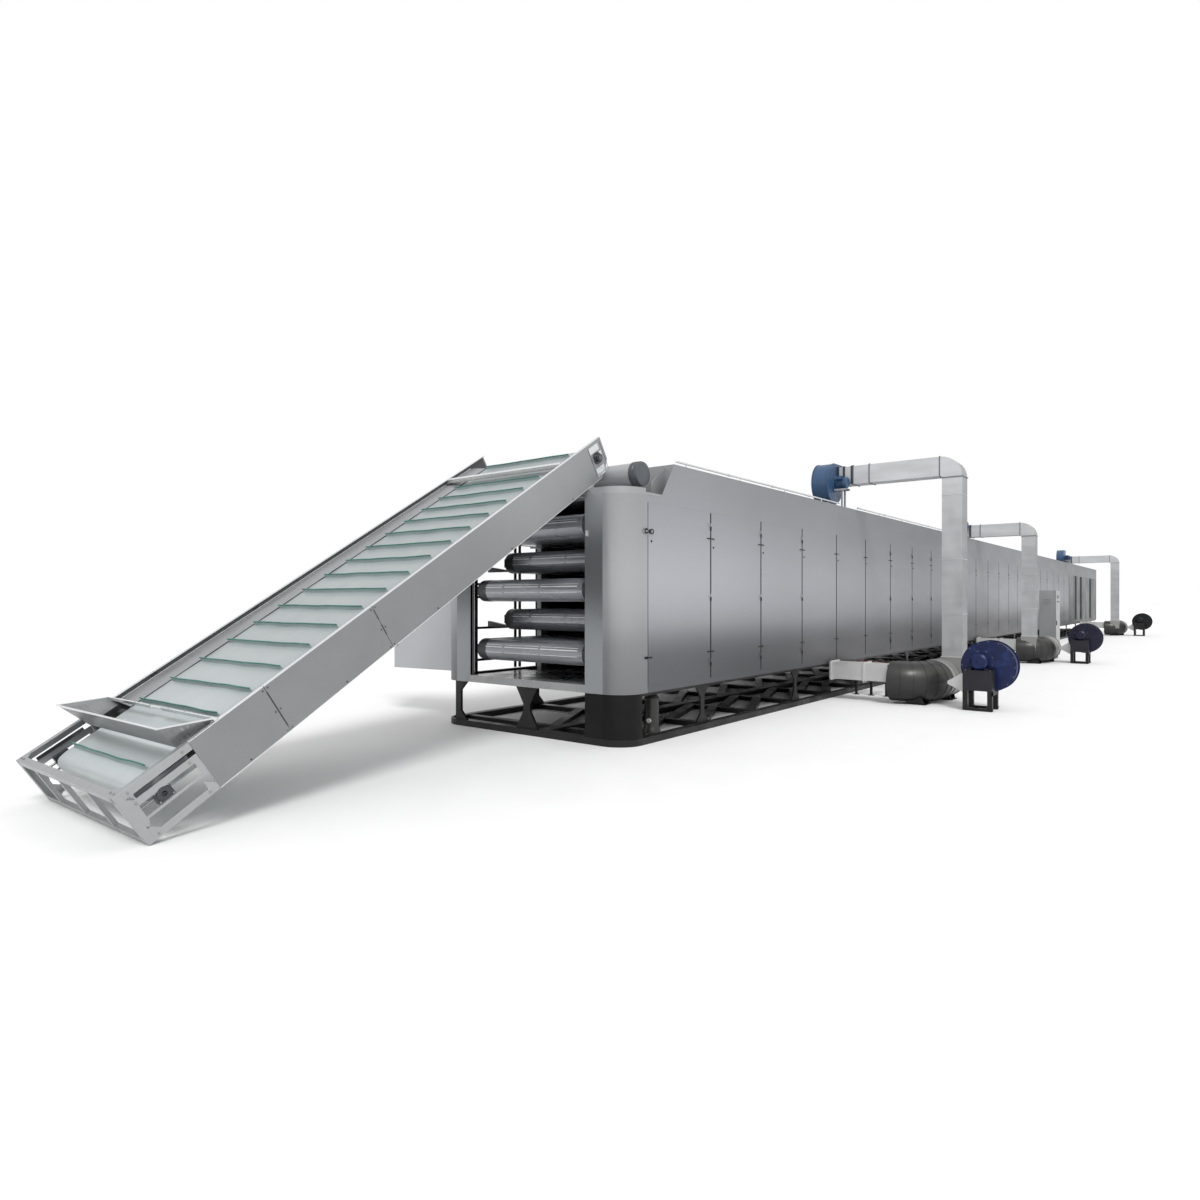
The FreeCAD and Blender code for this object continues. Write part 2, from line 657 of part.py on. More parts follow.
def feed_hopper():
    """The flared mouth over the lower end: front panel, two wings and the back bar."""
    lip_u, lip_w = 405, 180
    foot_u, foot_w = 466, -38
    back_u = 700
    half_top = FEED_HALF - 10
    half_foot = 740
    front = prism([(lip_u, -half_top, lip_w), (lip_u, half_top, lip_w),
                   (foot_u, half_foot, foot_w), (foot_u, -half_foot, foot_w)], (3, 0, 3))
    low_corner = (back_u, -half_foot, foot_w)
    lip_corner = (lip_u, -half_top, lip_w)
    wings = [
        prism([lip_corner, (foot_u, -half_foot, foot_w), low_corner], (0, 0, 4)).cut(front),
        prism([lip_corner, low_corner, (back_u, -half_top, 25)], (0, 0, 4)).cut(front),
    ]
    bar = box(back_u, back_u + 30, -half_top, half_top, 1, 26)
    return on_slope([front, bar] + both_sides(wings))


# ---------------------------------------------------------------- drives and air units

def belt_gearmotor():
    """The belt drive inside the near front corner of the base."""
    x, y, z = 620, -800, 230
    lattice_top = RAIL_HEIGHT - LATTICE_LIFT
    body = rod((x, y, z), (0, 1, 0), 105, 330)
    gearbox = box(x - 110, x + 110, y - 140, y, z - 110, z + 110)
    foot = box(x - 130, x + 130, y - 120, y + 300, lattice_top, z - 110)
    tank = rod((x + 50, y - 415, RAIL_HEIGHT), (0, 0, 1), 98, 405)
    return [body.cut(foot), gearbox, foot, tank]


def duct_run(unit):
    """The square exhaust duct: down leg, quarter bend and cross run to the roof."""
    x0 = DUCT_X + DUCT_SHIFTS[unit]
    x1 = x0 + DUCT_SIDE
    y0 = DUCT_LINES[unit]
    top = DUCT_TOPS[unit]
    wall = 3
    inner_bend = 30
    bend_y = y0 + DUCT_SIDE + inner_bend
    bend_z = top - DUCT_SIDE - inner_bend
    down = sheet_box(x0, x1, y0, y0 + DUCT_SIDE, 640, bend_z, wall, "z")
    ring = pipe((x0, bend_y, bend_z), (1, 0, 0), inner_bend + DUCT_SIDE, inner_bend, DUCT_SIDE)
    hollow = pipe((x0 + wall, bend_y, bend_z), (1, 0, 0), inner_bend + DUCT_SIDE - wall,
                  inner_bend + wall, DUCT_SIDE - 2 * wall)
    corner = box(x0, x1, y0, bend_y, bend_z, top)
    bend = ring.cut(hollow).common(corner)
    run = sheet_box(x0, x1, bend_y, RUN_ENDS[unit], top - DUCT_SIDE, top, wall, "y")
    lip = 12
    flange = box(x0 - lip, x1 + lip, y0 - lip, y0 + DUCT_SIDE + lip, 625, 640)
    return [bend, flange] + down + run


def heater(unit):
    """Return duct from under the cabinet, round elbow, heating drum and their feet."""
    x = HEATER_X + HEATER_SHIFTS[unit]
    turn_y = HEATER_Y + HEATER_TURN
    duct = box(x - 150, x + 150, turn_y, -HALF_WIDTH - 20, 300, 550)
    section = Part.Face(Part.Wire(Part.makeCircle(HEATER_RADIUS, V(x, turn_y, HEATER_Z), V(0, 1, 0))))
    elbow = section.revolve(V(x + HEATER_TURN, turn_y, 0), V(0, 0, 1), 90)
    start = x + HEATER_TURN
    drum = rod((start, HEATER_Y, HEATER_Z), (1, 0, 0), HEATER_RADIUS,
               HEATER_END + HEATER_SHIFTS[unit] - start)
    lip = 12
    left = DUCT_X + DUCT_SHIFTS[unit] - lip
    right = left + DUCT_SIDE + 2 * lip
    near = DUCT_LINES[unit] - lip
    saddle = box(left, right, near, near + DUCT_SIDE + 2 * lip, 300, 625).cut(drum).cut(elbow)
    feet = [
        box(x - 60, x + 250, HEATER_Y - 60, HEATER_Y + 260, 0, 60).cut(elbow),
        box(start + 330, start + 620, HEATER_Y - 200, HEATER_Y + 200, 0, 200).cut(drum),
    ]
    return [duct, elbow, drum, saddle] + feet


def scroll_casing(x, y, z, radius, width, shaft_y, shaft_z, hole):
    """A closed round fan casing with its axis along X, open for the shaft on the -X side."""
    wall = 5
    rim = pipe((x, y, z), (1, 0, 0), radius, radius - wall, width)
    back = rod((x + width - wall, y, z), (1, 0, 0), radius - wall, wall)
    front = rod((x, y, z), (1, 0, 0), radius - wall, wall)
    front = front.cut(rod((x, shaft_y, shaft_z), (1, 0, 0), hole, wall))
    return [rim, back, front]


def fan_motor(x, y, z, radius, shaft_radius):
    """A motor barrel on the -X side of a casing, bored for the wheel's shaft."""
    body = rod((x - MOTOR_END, y, z), (1, 0, 0), radius, MOTOR_END - MOTOR_GAP)
    return body.cut(rod((x - MOTOR_END + 20, y, z), (1, 0, 0), shaft_radius + RUNNING_FIT, MOTOR_END))


def blower(shift):
    """Scroll casing, tapered outlet, motor and pedestal of a ground blower."""
    x = BLOWER_X + shift
    y = BLOWER_Y
    z = BLOWER_Z
    eye_y = y + EYE_SHIFT_Y
    eye_z = z + EYE_SHIFT_Z
    casing = scroll_casing(x, y, z, BLOWER_RADIUS, BLOWER_WIDTH, eye_y, eye_z, BLOWER_SHAFT + 6)
    whole = rod((x, y, z), (1, 0, 0), BLOWER_RADIUS, BLOWER_WIDTH)
    outlet = prism([(x + 20, -3240, z - 400), (x + 20, -3240, z - 60), (x + 20, -2985, z - 230),
                    (x + 20, -2985, z - 270)], (BLOWER_WIDTH - 40, 0, 0)).cut(whole)
    stand = box(x - 230, x + 150, y - 95, y + 265, 265, 535).cut(whole)
    legs = []
    for leg_y in (y - 95, y + 205):
        legs.append(box(x - 230, x - 170, leg_y, leg_y + 60, 30, 265))
        legs.append(box(x + 90, x + 150, leg_y, leg_y + 60, 30, 265).cut(whole))
    rails = [box(lx, lx + 60, y - 95, y + 265, 0, 30) for lx in (x - 230, x + 90)]
    return casing + [outlet, fan_motor(x, eye_y, eye_z, BLOWER_MOTOR, BLOWER_SHAFT), stand] + legs + rails


def wheel(x, y, z, radius, width, shaft_start, shaft_radius):
    """A paddle wheel with backplate, hub and straight blades, and its shaft towards -X."""
    plate = pipe((x, y, z), (1, 0, 0), radius, shaft_radius, 6)
    blades = []
    count = 10
    for index in range(count):
        blade = box(x + 6, x + width, y - 3, y + 3, z + 90, z + radius)
        blade.rotate(V(x, y, z), V(1, 0, 0), index * 360 / count)
        blades.append(blade)
    shaft = rod((shaft_start, y, z), (1, 0, 0), shaft_radius, x + width - shaft_start)
    return [plate, shaft] + blades


def blower_wheel(shift):
    x = BLOWER_X + shift
    return wheel(x + 30, BLOWER_Y + EYE_SHIFT_Y, BLOWER_Z + EYE_SHIFT_Z, BLOWER_WHEEL, 160,
                 x - MOTOR_END + 22, BLOWER_SHAFT)


def fan_height(unit):
    return max(DUCT_TOPS[unit] - 270, CABINET_TOP + FAN_RADIUS + 15)


def across_roof(solids, unit):
    """Fan parts built along X are turned to face -Y and set beside the end of their cross run."""
    placed = []
    for solid in solids:
        copy = solid.copy()
        copy.rotate(V(0, 0, 0), V(0, 0, 1), 90)
        copy.translate(V(FAN_X + DUCT_SHIFTS[unit], RUN_ENDS[unit] + COLLAR, 0))
        placed.append(copy)
    return placed


def roof_fan(unit):
    """Scroll casing, outlet chest, collar to the cross run, motor and its table."""
    z = fan_height(unit)
    top = DUCT_TOPS[unit]
    whole = rod((0, 0, z), (1, 0, 0), FAN_RADIUS, FAN_WIDTH)
    near = FAN_X - DUCT_X
    chest = box(0, FAN_WIDTH, near - DUCT_SIDE, 0, z + 20, z + FAN_RADIUS)
    chest = chest.cut(box(5, FAN_WIDTH - 5, near - DUCT_SIDE + 5, 0, z + 25, z + FAN_RADIUS - 5))
    chest = chest.cut(whole)
    collar = box(-COLLAR, 0, near - DUCT_SIDE, near, top - DUCT_SIDE, top)
    collar = collar.cut(box(-COLLAR, 0, near - DUCT_SIDE + 3, near - 3, top - DUCT_SIDE + 3, top - 3))
    floor = CABINET_TOP
    stand = [box(30, 230, y, y + 50, floor, z - 280).cut(whole) for y in (-150, 100)]
    motor = fan_motor(0, 0, z, ROOF_MOTOR, ROOF_SHAFT)
    table = box(-MOTOR_END, -MOTOR_GAP, -80, 80, z - 125, z - 85)
    table = table.cut(rod((-MOTOR_END, 0, z), (1, 0, 0), ROOF_MOTOR, MOTOR_END))
    legs = [box(-150, -115, y, y + 35, floor, z - 125) for y in (-80, 45)]
    casing = scroll_casing(0, 0, z, FAN_RADIUS, FAN_WIDTH, 0, z, ROOF_SHAFT + 6)
    return across_roof(casing + [chest, collar, motor, table] + stand + legs, unit)


def roof_fan_wheel(unit):
    turned = wheel(30, 0, fan_height(unit), FAN_WHEEL, 190, -MOTOR_END + 22, ROOF_SHAFT)
    return across_roof(turned, unit)


def pipework():
    """Valve pipes between the cabinet and the first two heating drums."""
    solids = []
    for shift in HEATER_SHIFTS[:2]:
        x = HEATER_X + shift + 480
        for index in range(3):
            y = -1500 - index * 230
            solids.append(rod((x, y, 450), (1, 0, 0), 40, 620))
            solids.append(rod((x + 180, y, 0), (0, 0, 1), 22, 408))
            solids.append(pipe((x + 250, y, 450), (1, 0, 0), 70, 40, 30))
    return solids


def control_box():
    x0, x1, y0, y1, z1 = 15950, 16550, -2760, -2420, 1700
    wall = 3
    shell = [
        box(x0, x1, y1 - wall, y1, 80, z1),
        box(x0, x0 + wall, y0, y1 - wall, 80, z1),
        box(x1 - wall, x1, y0, y1 - wall, 80, z1),
        box(x0 + wall, x1 - wall, y0, y1 - wall, 80, 80 + wall),
        box(x0 + wall, x1 - wall, y0, y1 - wall, z1 - wall, z1),
    ]
    plinth = box(x0 + 10, x1 - 10, y0 + 10, y1 - 10, 0, 80)
    plate = box(x0 + 40, x1 - 40, y1 - wall - 40, y1 - wall, 150, z1 - 80)
    return shell + [plinth, plate]


def control_door():
    x0, x1, y0, z1 = 15950, 16550, -2760, 1700
    leaf = box(x0 + 2, x1 - 2, y0 - 26, y0 - 2, 84, z1 - 4)
    handle = box(x0 + 40, x0 + 70, y0 - 46, y0 - 26, 840, 960)
    return [leaf, handle]


def build():
    os.makedirs("parts", exist_ok=True)
    save("base_rails", base_rails())
    save("base_lattice", base_lattice())
    save("base_legs", base_legs() + base_front_legs())
    save("corner_skirts", corner_skirts())
    save("corner_panels", corner_panels())
    save("rear_panel", rear_panel())
    save("wall_posts", wall_posts())
    save("side_fascias", side_fascias())
    save("floor_and_tray", floor_and_tray())
    save("feed_portal", feed_portal())
    save("roof_panels", roof_panels())
    save("feed_tube", feed_tube())
    save("fixed_doors", fixed_doors())
    save("far_door_01", open_far_door())
    for index in MOVING_NEAR_DOORS:
        save("near_door_%02d" % (index + 1), [moved(s, index * DOOR_PITCH) for s in door_leaf()])
    save("mesh_belts", mesh_belts())
    save("belt_frames", belt_frames() + belt_hangers())
    for layer in range(LAYER_COUNT):
        front, rear = layer_ends(layer)
        save("front_drum_%d" % (layer + 1), belt_drum(front, layer_height(layer)))
        save("rear_drum_%d" % (layer + 1), belt_drum(rear, layer_height(layer)))
    save("feed_side_plates", feed_side_plates() + feed_skirts())
    save("feed_foot", feed_foot())
    save("feed_bed", feed_bed())
    save("feed_bearings", feed_bearings())
    save("feed_belt", feed_belt())
    save("feed_hopper", feed_hopper())
    save("feed_head_roller", feed_roller(HEAD_U, FEED_HALF + 45, FEED_HALF + 130))
    save("feed_tail_roller", feed_roller(TAIL_U, FEED_HALF - 2, FEED_HALF - 2))
    save("belt_gearmotor", belt_gearmotor())
    for unit, shift in enumerate(BLOWER_SHIFTS):
        save("exhaust_duct_%d" % (unit + 1), duct_run(unit))
        save("heater_%d" % (unit + 1), heater(unit))
        save("blower_%d" % (unit + 1), blower(shift))
        save("blower_wheel_%d" % (unit + 1), blower_wheel(shift))
    save("roof_fan_1", roof_fan(0))
    save("roof_fans_2_3", roof_fan(1) + roof_fan(2))
    save("roof_fan_wheel_1", roof_fan_wheel(0))
    save("pipework", pipework() + roof_pipe())
    save("control_box", control_box())
    save("control_door", control_door())


build()
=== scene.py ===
import math
import random

import bmesh
import bpy
from mathutils import Matrix, Vector, noise


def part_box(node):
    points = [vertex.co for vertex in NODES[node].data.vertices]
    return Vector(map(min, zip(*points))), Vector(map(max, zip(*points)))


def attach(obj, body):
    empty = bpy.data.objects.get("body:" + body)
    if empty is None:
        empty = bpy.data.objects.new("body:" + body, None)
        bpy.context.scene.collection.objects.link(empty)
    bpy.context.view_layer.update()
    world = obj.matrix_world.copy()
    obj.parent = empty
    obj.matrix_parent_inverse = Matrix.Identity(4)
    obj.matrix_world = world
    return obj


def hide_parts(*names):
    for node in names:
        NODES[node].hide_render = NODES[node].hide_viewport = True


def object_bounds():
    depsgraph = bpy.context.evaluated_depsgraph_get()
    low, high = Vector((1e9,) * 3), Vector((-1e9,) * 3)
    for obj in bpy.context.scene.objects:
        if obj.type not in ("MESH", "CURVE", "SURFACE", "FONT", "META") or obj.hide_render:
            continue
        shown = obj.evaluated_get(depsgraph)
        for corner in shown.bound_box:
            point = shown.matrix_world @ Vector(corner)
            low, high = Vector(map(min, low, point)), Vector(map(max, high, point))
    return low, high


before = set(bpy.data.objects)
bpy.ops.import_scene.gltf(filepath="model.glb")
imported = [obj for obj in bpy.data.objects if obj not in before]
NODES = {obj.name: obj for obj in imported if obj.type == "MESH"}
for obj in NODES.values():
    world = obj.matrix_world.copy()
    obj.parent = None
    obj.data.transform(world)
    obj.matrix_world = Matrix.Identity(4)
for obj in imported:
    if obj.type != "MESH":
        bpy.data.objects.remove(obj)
CAD_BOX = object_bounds()
draw = random.Random(7)

# ---------------------------------------------------------------- places taken from the frame

HOUSING = "housing"
PITCH = 1.25
GAP = 0.006
DOOR_LOW, DOOR_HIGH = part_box("near_door_01")
FIRST_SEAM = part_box("corner_panels")[1].x + GAP
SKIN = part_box("side_fascias")[1].y              # |Y| of the outer faces of the walls
WALL_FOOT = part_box("corner_panels")[0].z
CORNER_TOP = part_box("corner_panels")[1].z
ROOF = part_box("roof_panels")[1].z
DOORS = 30
CORNER = 0.28
SLOPE = math.radians(32.07)
PLATE_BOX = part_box("feed_side_plates")
FEED_Y = (PLATE_BOX[0].y + PLATE_BOX[1].y) / 2
FEED_HALF = (PLATE_BOX[1].y - PLATE_BOX[0].y) / 2
FEED_DEPTH = 0.378
FEED_LOW_X = CAD_BOX[0].x
ON_SLOPE = Matrix((
    (math.cos(SLOPE), 0, -math.sin(SLOPE), FEED_LOW_X),
    (0, 1, 0, FEED_Y),
    (math.sin(SLOPE), 0, math.cos(SLOPE), FEED_DEPTH * math.cos(SLOPE)),
    (0, 0, 0, 1),
))
NEAR_SIDE = Matrix.Identity(4)
FAR_SIDE = Matrix.Diagonal((1, -1, 1, 1))
SIDES = (NEAR_SIDE, FAR_SIDE)
PLAN = ((1, 0, 0), (0, 1, 0))                   # axes for an arc drawn in plan
SHEET = 0.0025                                  # thickness of a folded sheet
MOUTH_EDGE = 0.855                              # |Y| of the edges of the open mouth


# ---------------------------------------------------------------- mesh kit

def circle(radius, count, first=0.0):
    """Places round a circle as (across, up) pairs, the first of them that share of a step along."""
    angles = [2 * math.pi * (k + first) / count for k in range(count)]
    return [(radius * math.cos(a), radius * math.sin(a)) for a in angles]


def octagon(half, flat):
    """The corners of a square with cut corners, as (across, up) pairs."""
    quarter = [(half, flat), (flat, half)]
    return quarter + [(-a, b) for a, b in quarter[::-1]] + [(-a, -b) for a, b in quarter] + [
        (a, -b) for a, b in quarter[::-1]]


def axes_round(axis):
    """A unit vector along an axis and two across it."""
    axis = Vector(axis).normalized()
    across = axis.orthogonal().normalized()
    return axis, across, axis.cross(across)


class Shape:
    """A mesh being built in metres; place carries what is added next into the frame."""

    def __init__(self, place=None):
        self.mesh = bmesh.new()
        self.place = place or Matrix.Identity(4)
        self.tone = 0

    def vertex(self, point):
        return self.mesh.verts.new(self.place @ Vector(point))

    def face(self, corners):
        made = self.mesh.faces.new(corners)
        made.material_index = self.tone
        return made

    def block(self, x0, x1, y0, y1, z0, z1):
        self.prism([(x0, y0, z0), (x1, y0, z0), (x1, y1, z0), (x0, y1, z0)], (0, 0, z1 - z0))

    def prism(self, outline, push):
        low = [self.vertex(p) for p in outline]
        high = [self.vertex(Vector(p) + Vector(push)) for p in outline]
        self.face(low[::-1])
        self.face(high)
        for a, b, c, d in zip(low, low[1:] + low[:1], high[1:] + high[:1], high):
            self.face([a, b, c, d])

    def pan(self, x0, x1, y0, y1, z0, z1, sheet=SHEET):
        """A folded sheet: a face at y0 with a return back to y1 along each edge."""
        back = y0 + math.copysign(sheet, y1 - y0)
        self.block(x0, x1, y0, back, z0, z1)
        for x in (x0, x1 - sheet):
            self.block(x, x + sheet, back, y1, z0, z1)
        for z in (z0, z1 - sheet):
            self.block(x0 + sheet, x1 - sheet, back, y1, z, z + sheet)

    def turned(self, profile, start, axis, sides=24, closed=False):
        """A surface of revolution from (radius, distance along the axis) pairs."""
        axis, across, other = axes_round(axis)
        self.skin([[self.vertex(Vector(start) + axis * along + (across * a + other * b) * radius)
                    for a, b in circle(1, sides)] for radius, along in profile], closed)

    def fins(self, start, axis, inner, outer, length, count, half):
        """Ribs of the given half thickness standing round an axis."""
        axis, across, other = axes_round(axis)
        for a, b in circle(1, count):
            out = across * a + other * b
            side = axis.cross(out) * half
            low, high = Vector(start) + out * inner, Vector(start) + out * outer
            self.prism([low + side, low - side, high - side, high + side], axis * length)

    def skin(self, rings, closed=False):
        """Faces between rings of points; the two end rings are capped unless the row closes."""
        following = rings[1:] + (rings[:1] if closed else [])
        for near, far in zip(rings, following):
            for k in range(len(near)):
                j = (k + 1) % len(near)
                self.face([near[k], near[j], far[j], far[k]])
        if not closed:
            self.face(rings[0][::-1])
            self.face(rings[-1])

    def rod(self, start, end, radius, sides=12):
        run = Vector(end) - Vector(start)
        edge = min(radius * 0.15, run.length * 0.2)
        profile = [(radius - edge, 0), (radius, edge), (radius, run.length - edge),
                   (radius - edge, run.length)]
        self.turned(profile, start, run, sides)

    def tube(self, start, end, outer, inner, sides=24):
        run = Vector(end) - Vector(start)
        profile = [(outer, 0), (outer, run.length), (inner, run.length), (inner, 0)]
        self.turned(profile, start, run, sides, closed=True)

    def swept(self, path, section, side, closed=False):
        """A section of (across, up) pairs carried along a path; side is the constant across axis."""
        points = [Vector(p) for p in path]
        side = Vector(side).normalized()
        rings = []
        last = len(points) - 1
        for k, point in enumerate(points):
            before = points[k - 1] if closed or k else point
            after = points[(k + 1) % (last + 1)] if closed or k < last else point
            up = (after - before).normalized().cross(side)
            rings.append([self.vertex(point + side * a + up * b) for a, b in section])
        self.skin(rings, closed)

    def wire(self, path, radius, side=(0, 1, 0), sides=8, closed=False):
        self.swept(path, circle(radius, sides), side, closed)

    def bolts(self, places, axis, radius=0.009, height=0.007):
        for place in places:
            self.turned([(radius, 0), (radius, height * 0.8), (radius * 0.8, height)], place, axis, 6)


def arc(centre, radius, start, stop, count, axes=((1, 0, 0), (0, 0, 1))):
    """Points round a centre, angles in degrees from the first axis towards the second."""
    first, second = Vector(axes[0]), Vector(axes[1])
    angles = [math.radians(start + (stop - start) * k / count) for k in range(count + 1)]
    return [Vector(centre) + first * radius * math.cos(a) + second * radius * math.sin(a) for a in angles]


def piece(name, shape, body, looks, stands_for=(), bevel=0.0, smooth=35):
    """Turns a shape into an object that rides on a body and takes its finish from a slot."""
    bmesh.ops.recalc_face_normals(shape.mesh, faces=shape.mesh.faces)
    mesh = bpy.data.meshes.new(name)
    shape.mesh.to_mesh(mesh)
    shape.mesh.free()
    made = bpy.data.objects.new(name, mesh)
    bpy.context.scene.collection.objects.link(made)
    for surface in looks if isinstance(looks, (list, tuple)) else [looks]:
        mesh.materials.append(surface)
    mesh.polygons.foreach_set("use_smooth", [True] * len(mesh.polygons))
    mesh.set_sharp_from_angle(angle=math.radians(smooth))
    if bevel:
        edge = made.modifiers.new("edges", "BEVEL")
        edge.width = bevel
        edge.segments = 2
        edge.limit_method = "ANGLE"
        edge.angle_limit = math.radians(40)
        edge.harden_normals = True
    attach(made, body)
    if stands_for:
        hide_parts(*stands_for)
    return made


# ---------------------------------------------------------------- materials

def linear(red, green, blue):
    """A colour on the 0 to 255 display scale as shader numbers."""
    return [((c / 255 + 0.055) / 1.055) ** 2.4 if c > 10 else c / 255 / 12.92 for c in (red, green, blue)]


def look(name, colour, metallic=0.0, roughness=0.5, spread=0.1, blotch=1.2, stretch=(1, 1, 1),
         grain=60.0, grain_amount=0.3, bump=0.15, bump_depth=0.002, ripple=0.0, bands=None,
         along=None, panels=0.0, rough_spread=0.12, coat=0.0, stain=None, shine=0.5,
         folds=(1.3, 1.3, 0.5)):
    """A painted or metal surface: broad tone changes, fine grain, and both in its roughness and relief.

    bands is a list of (height in metres, tone factor) and along the same for the distance down the
    line; panels varies the tone from door to door;
    ripple is the relief of slack sheet metal and folds its frequency on each axis; stain is (colour, share) of
    a second tone in patches.
    """
    made = bpy.data.materials.new(name)
    made.use_nodes = True
    nodes = made.node_tree.nodes
    links = made.node_tree.links
    shader = nodes["Principled BSDF"]
    shader.inputs["Metallic"].default_value = metallic
    shader.inputs["Coat Weight"].default_value = coat
    shader.inputs["Coat Roughness"].default_value = 0.15
    shader.inputs["Specular IOR Level"].default_value = shine
    place = nodes.new("ShaderNodeTexCoord").outputs["Object"]

    def texture(scale, detail, spin=(1, 1, 1)):
        mapping = nodes.new("ShaderNodeMapping")
        mapping.inputs["Scale"].default_value = spin
        links.new(place, mapping.inputs["Vector"])
        made_noise = nodes.new("ShaderNodeTexNoise")
        made_noise.inputs["Scale"].default_value = scale
        made_noise.inputs["Detail"].default_value = detail
        links.new(mapping.outputs["Vector"], made_noise.inputs["Vector"])
        return made_noise.outputs["Fac"]

    def math_node(kind, a, b):
        node = nodes.new("ShaderNodeMath")
        node.operation = kind
        for socket, value in zip(node.inputs, (a, b)):
            if isinstance(value, (int, float)):
                socket.default_value = value
            else:
                links.new(value, socket)
        return node.outputs[0]

    def mapped(value, low, high):
        node = nodes.new("ShaderNodeMapRange")
        node.inputs["From Min"].default_value = 0.3
        node.inputs["From Max"].default_value = 0.7
        node.inputs["To Min"].default_value = low
        node.inputs["To Max"].default_value = high
        links.new(value, node.inputs["Value"])
        return node.outputs["Result"]

    broad = texture(blotch, 4)
    fine = texture(grain, 3, stretch)
    tone = math_node("ADD", mapped(broad, 1 - spread, 1 + spread),
                     mapped(fine, -spread * grain_amount, spread * grain_amount))
    split = nodes.new("ShaderNodeSeparateXYZ")
    links.new(place, split.inputs["Vector"])
    for stops, axis in ((bands, "Z"), (along, "X")):
        if stops:
            ramp = nodes.new("ShaderNodeValToRGB")
            ramp.color_ramp.interpolation = "B_SPLINE"
            while len(ramp.color_ramp.elements) < len(stops):
                ramp.color_ramp.elements.new(0.5)
            reach = stops[-1][0]
            for stop, (distance, factor) in zip(ramp.color_ramp.elements, stops):
                stop.position = distance / reach
                stop.color = (factor / 2, factor / 2, factor / 2, 1)
            links.new(math_node("DIVIDE", split.outputs[axis], reach), ramp.inputs["Fac"])
            tone = math_node("MULTIPLY", tone, math_node("MULTIPLY", ramp.outputs["Color"], 2.0))
    if panels:
        index = math_node("FLOOR", math_node("DIVIDE", math_node("SUBTRACT", split.outputs["X"],
                                                                 FIRST_SEAM), PITCH), 0.0)
        chance = nodes.new("ShaderNodeTexWhiteNoise")
        chance.noise_dimensions = "1D"
        links.new(index, chance.inputs["W"])
        tone = math_node("MULTIPLY", tone,
                         math_node("ADD", math_node("MULTIPLY", chance.outputs["Value"], panels), 1 - panels / 2))
    mixer = nodes.new("ShaderNodeMix")
    mixer.data_type = "RGBA"
    mixer.blend_type = "MULTIPLY"
    mixer.clamp_result = True
    mixer.inputs["Factor"].default_value = 1.0
    mixer.inputs["A"].default_value = (*colour, 1.0)
    links.new(tone, mixer.inputs["B"])
    base = mixer.outputs["Result"]
    if stain:
        second, share = stain
        patches = nodes.new("ShaderNodeMapRange")
        patches.inputs["From Min"].default_value = 0.62 - share * 0.3
        patches.inputs["From Max"].default_value = 0.75 - share * 0.3
        links.new(texture(blotch * 3.1, 8), patches.inputs["Value"])
        over = nodes.new("ShaderNodeMix")
        over.data_type = "RGBA"
        links.new(patches.outputs["Result"], over.inputs["Factor"])
        links.new(base, over.inputs["A"])
        over.inputs["B"].default_value = (*second, 1.0)
        base = over.outputs["Result"]
    links.new(base, shader.inputs["Base Color"])
    links.new(mapped(texture(blotch * 2.3, 5, stretch), max(0.03, roughness - rough_spread),
                     min(1, roughness + rough_spread)), shader.inputs["Roughness"])
    relief = nodes.new("ShaderNodeBump")
    relief.inputs["Strength"].default_value = bump
    relief.inputs["Distance"].default_value = bump_depth
    links.new(texture(grain * 0.8, 4, stretch), relief.inputs["Height"])
    normal = relief.outputs["Normal"]
    if ripple:
        waves = nodes.new("ShaderNodeBump")
        waves.inputs["Strength"].default_value = 1.0
        waves.inputs["Distance"].default_value = ripple
        links.new(texture(1.6, 1.5, folds), waves.inputs["Height"])
        links.new(normal, waves.inputs["Normal"])
        normal = waves.outputs["Normal"]
    links.new(normal, shader.inputs["Normal"])
    return made


# Painted reflection on the wall sheet: tone by height, dark below 1 m and lightest from 1.5 to 1.75 m.
WALL_PAINTED_REFLECTION_BANDS = [(0.0, 0.28), (0.6, 0.31), (0.85, 0.34), (1.02, 0.5), (1.2, 0.92), (1.45, 1.2),
              (1.75, 1.28), (2.1, 1.14), (2.5, 0.94), (2.95, 0.86)]
# Painted shade along the wall: darker with distance down the line, darkest near 9 m where the shadow of the first
# duct falls.
WALL_PAINTED_SHADE_ALONG = [(0.0, 1.0), (1.5, 1.0), (3.0, 0.9), (6.0, 0.82), (9.0, 0.54), (13.0, 0.72), (20.0, 0.68),
              (28.0, 0.62), (31.0, 0.6), (38.5, 0.6)]
# The wall steel carries both tables of painted light above.
WALL = look("wall_steel", linear(160, 162, 167), metallic=0.5, roughness=0.4, spread=0.025,
            blotch=0.4, stretch=(1, 1, 4), grain=12, grain_amount=0.2, bump=0.015, rough_spread=0.04,
            ripple=0.0015, bands=WALL_PAINTED_REFLECTION_BANDS, along=WALL_PAINTED_SHADE_ALONG, panels=0.04)
# A darker copy of the wall sheet as painted shade for the far-end doors, with more painted shade low down.
FAR_END_SHADED_WALL = look("far_end_wall_painted_shade", linear(100, 102, 105), metallic=0.4, roughness=0.42, spread=0.03,
                blotch=0.4, grain=12, grain_amount=0.2, bump=0.015, ripple=0.0015,
                bands=[(0.0, 0.4), (0.7, 0.5), (1.2, 0.8), (1.7, 1.0), (2.5, 1.1)])
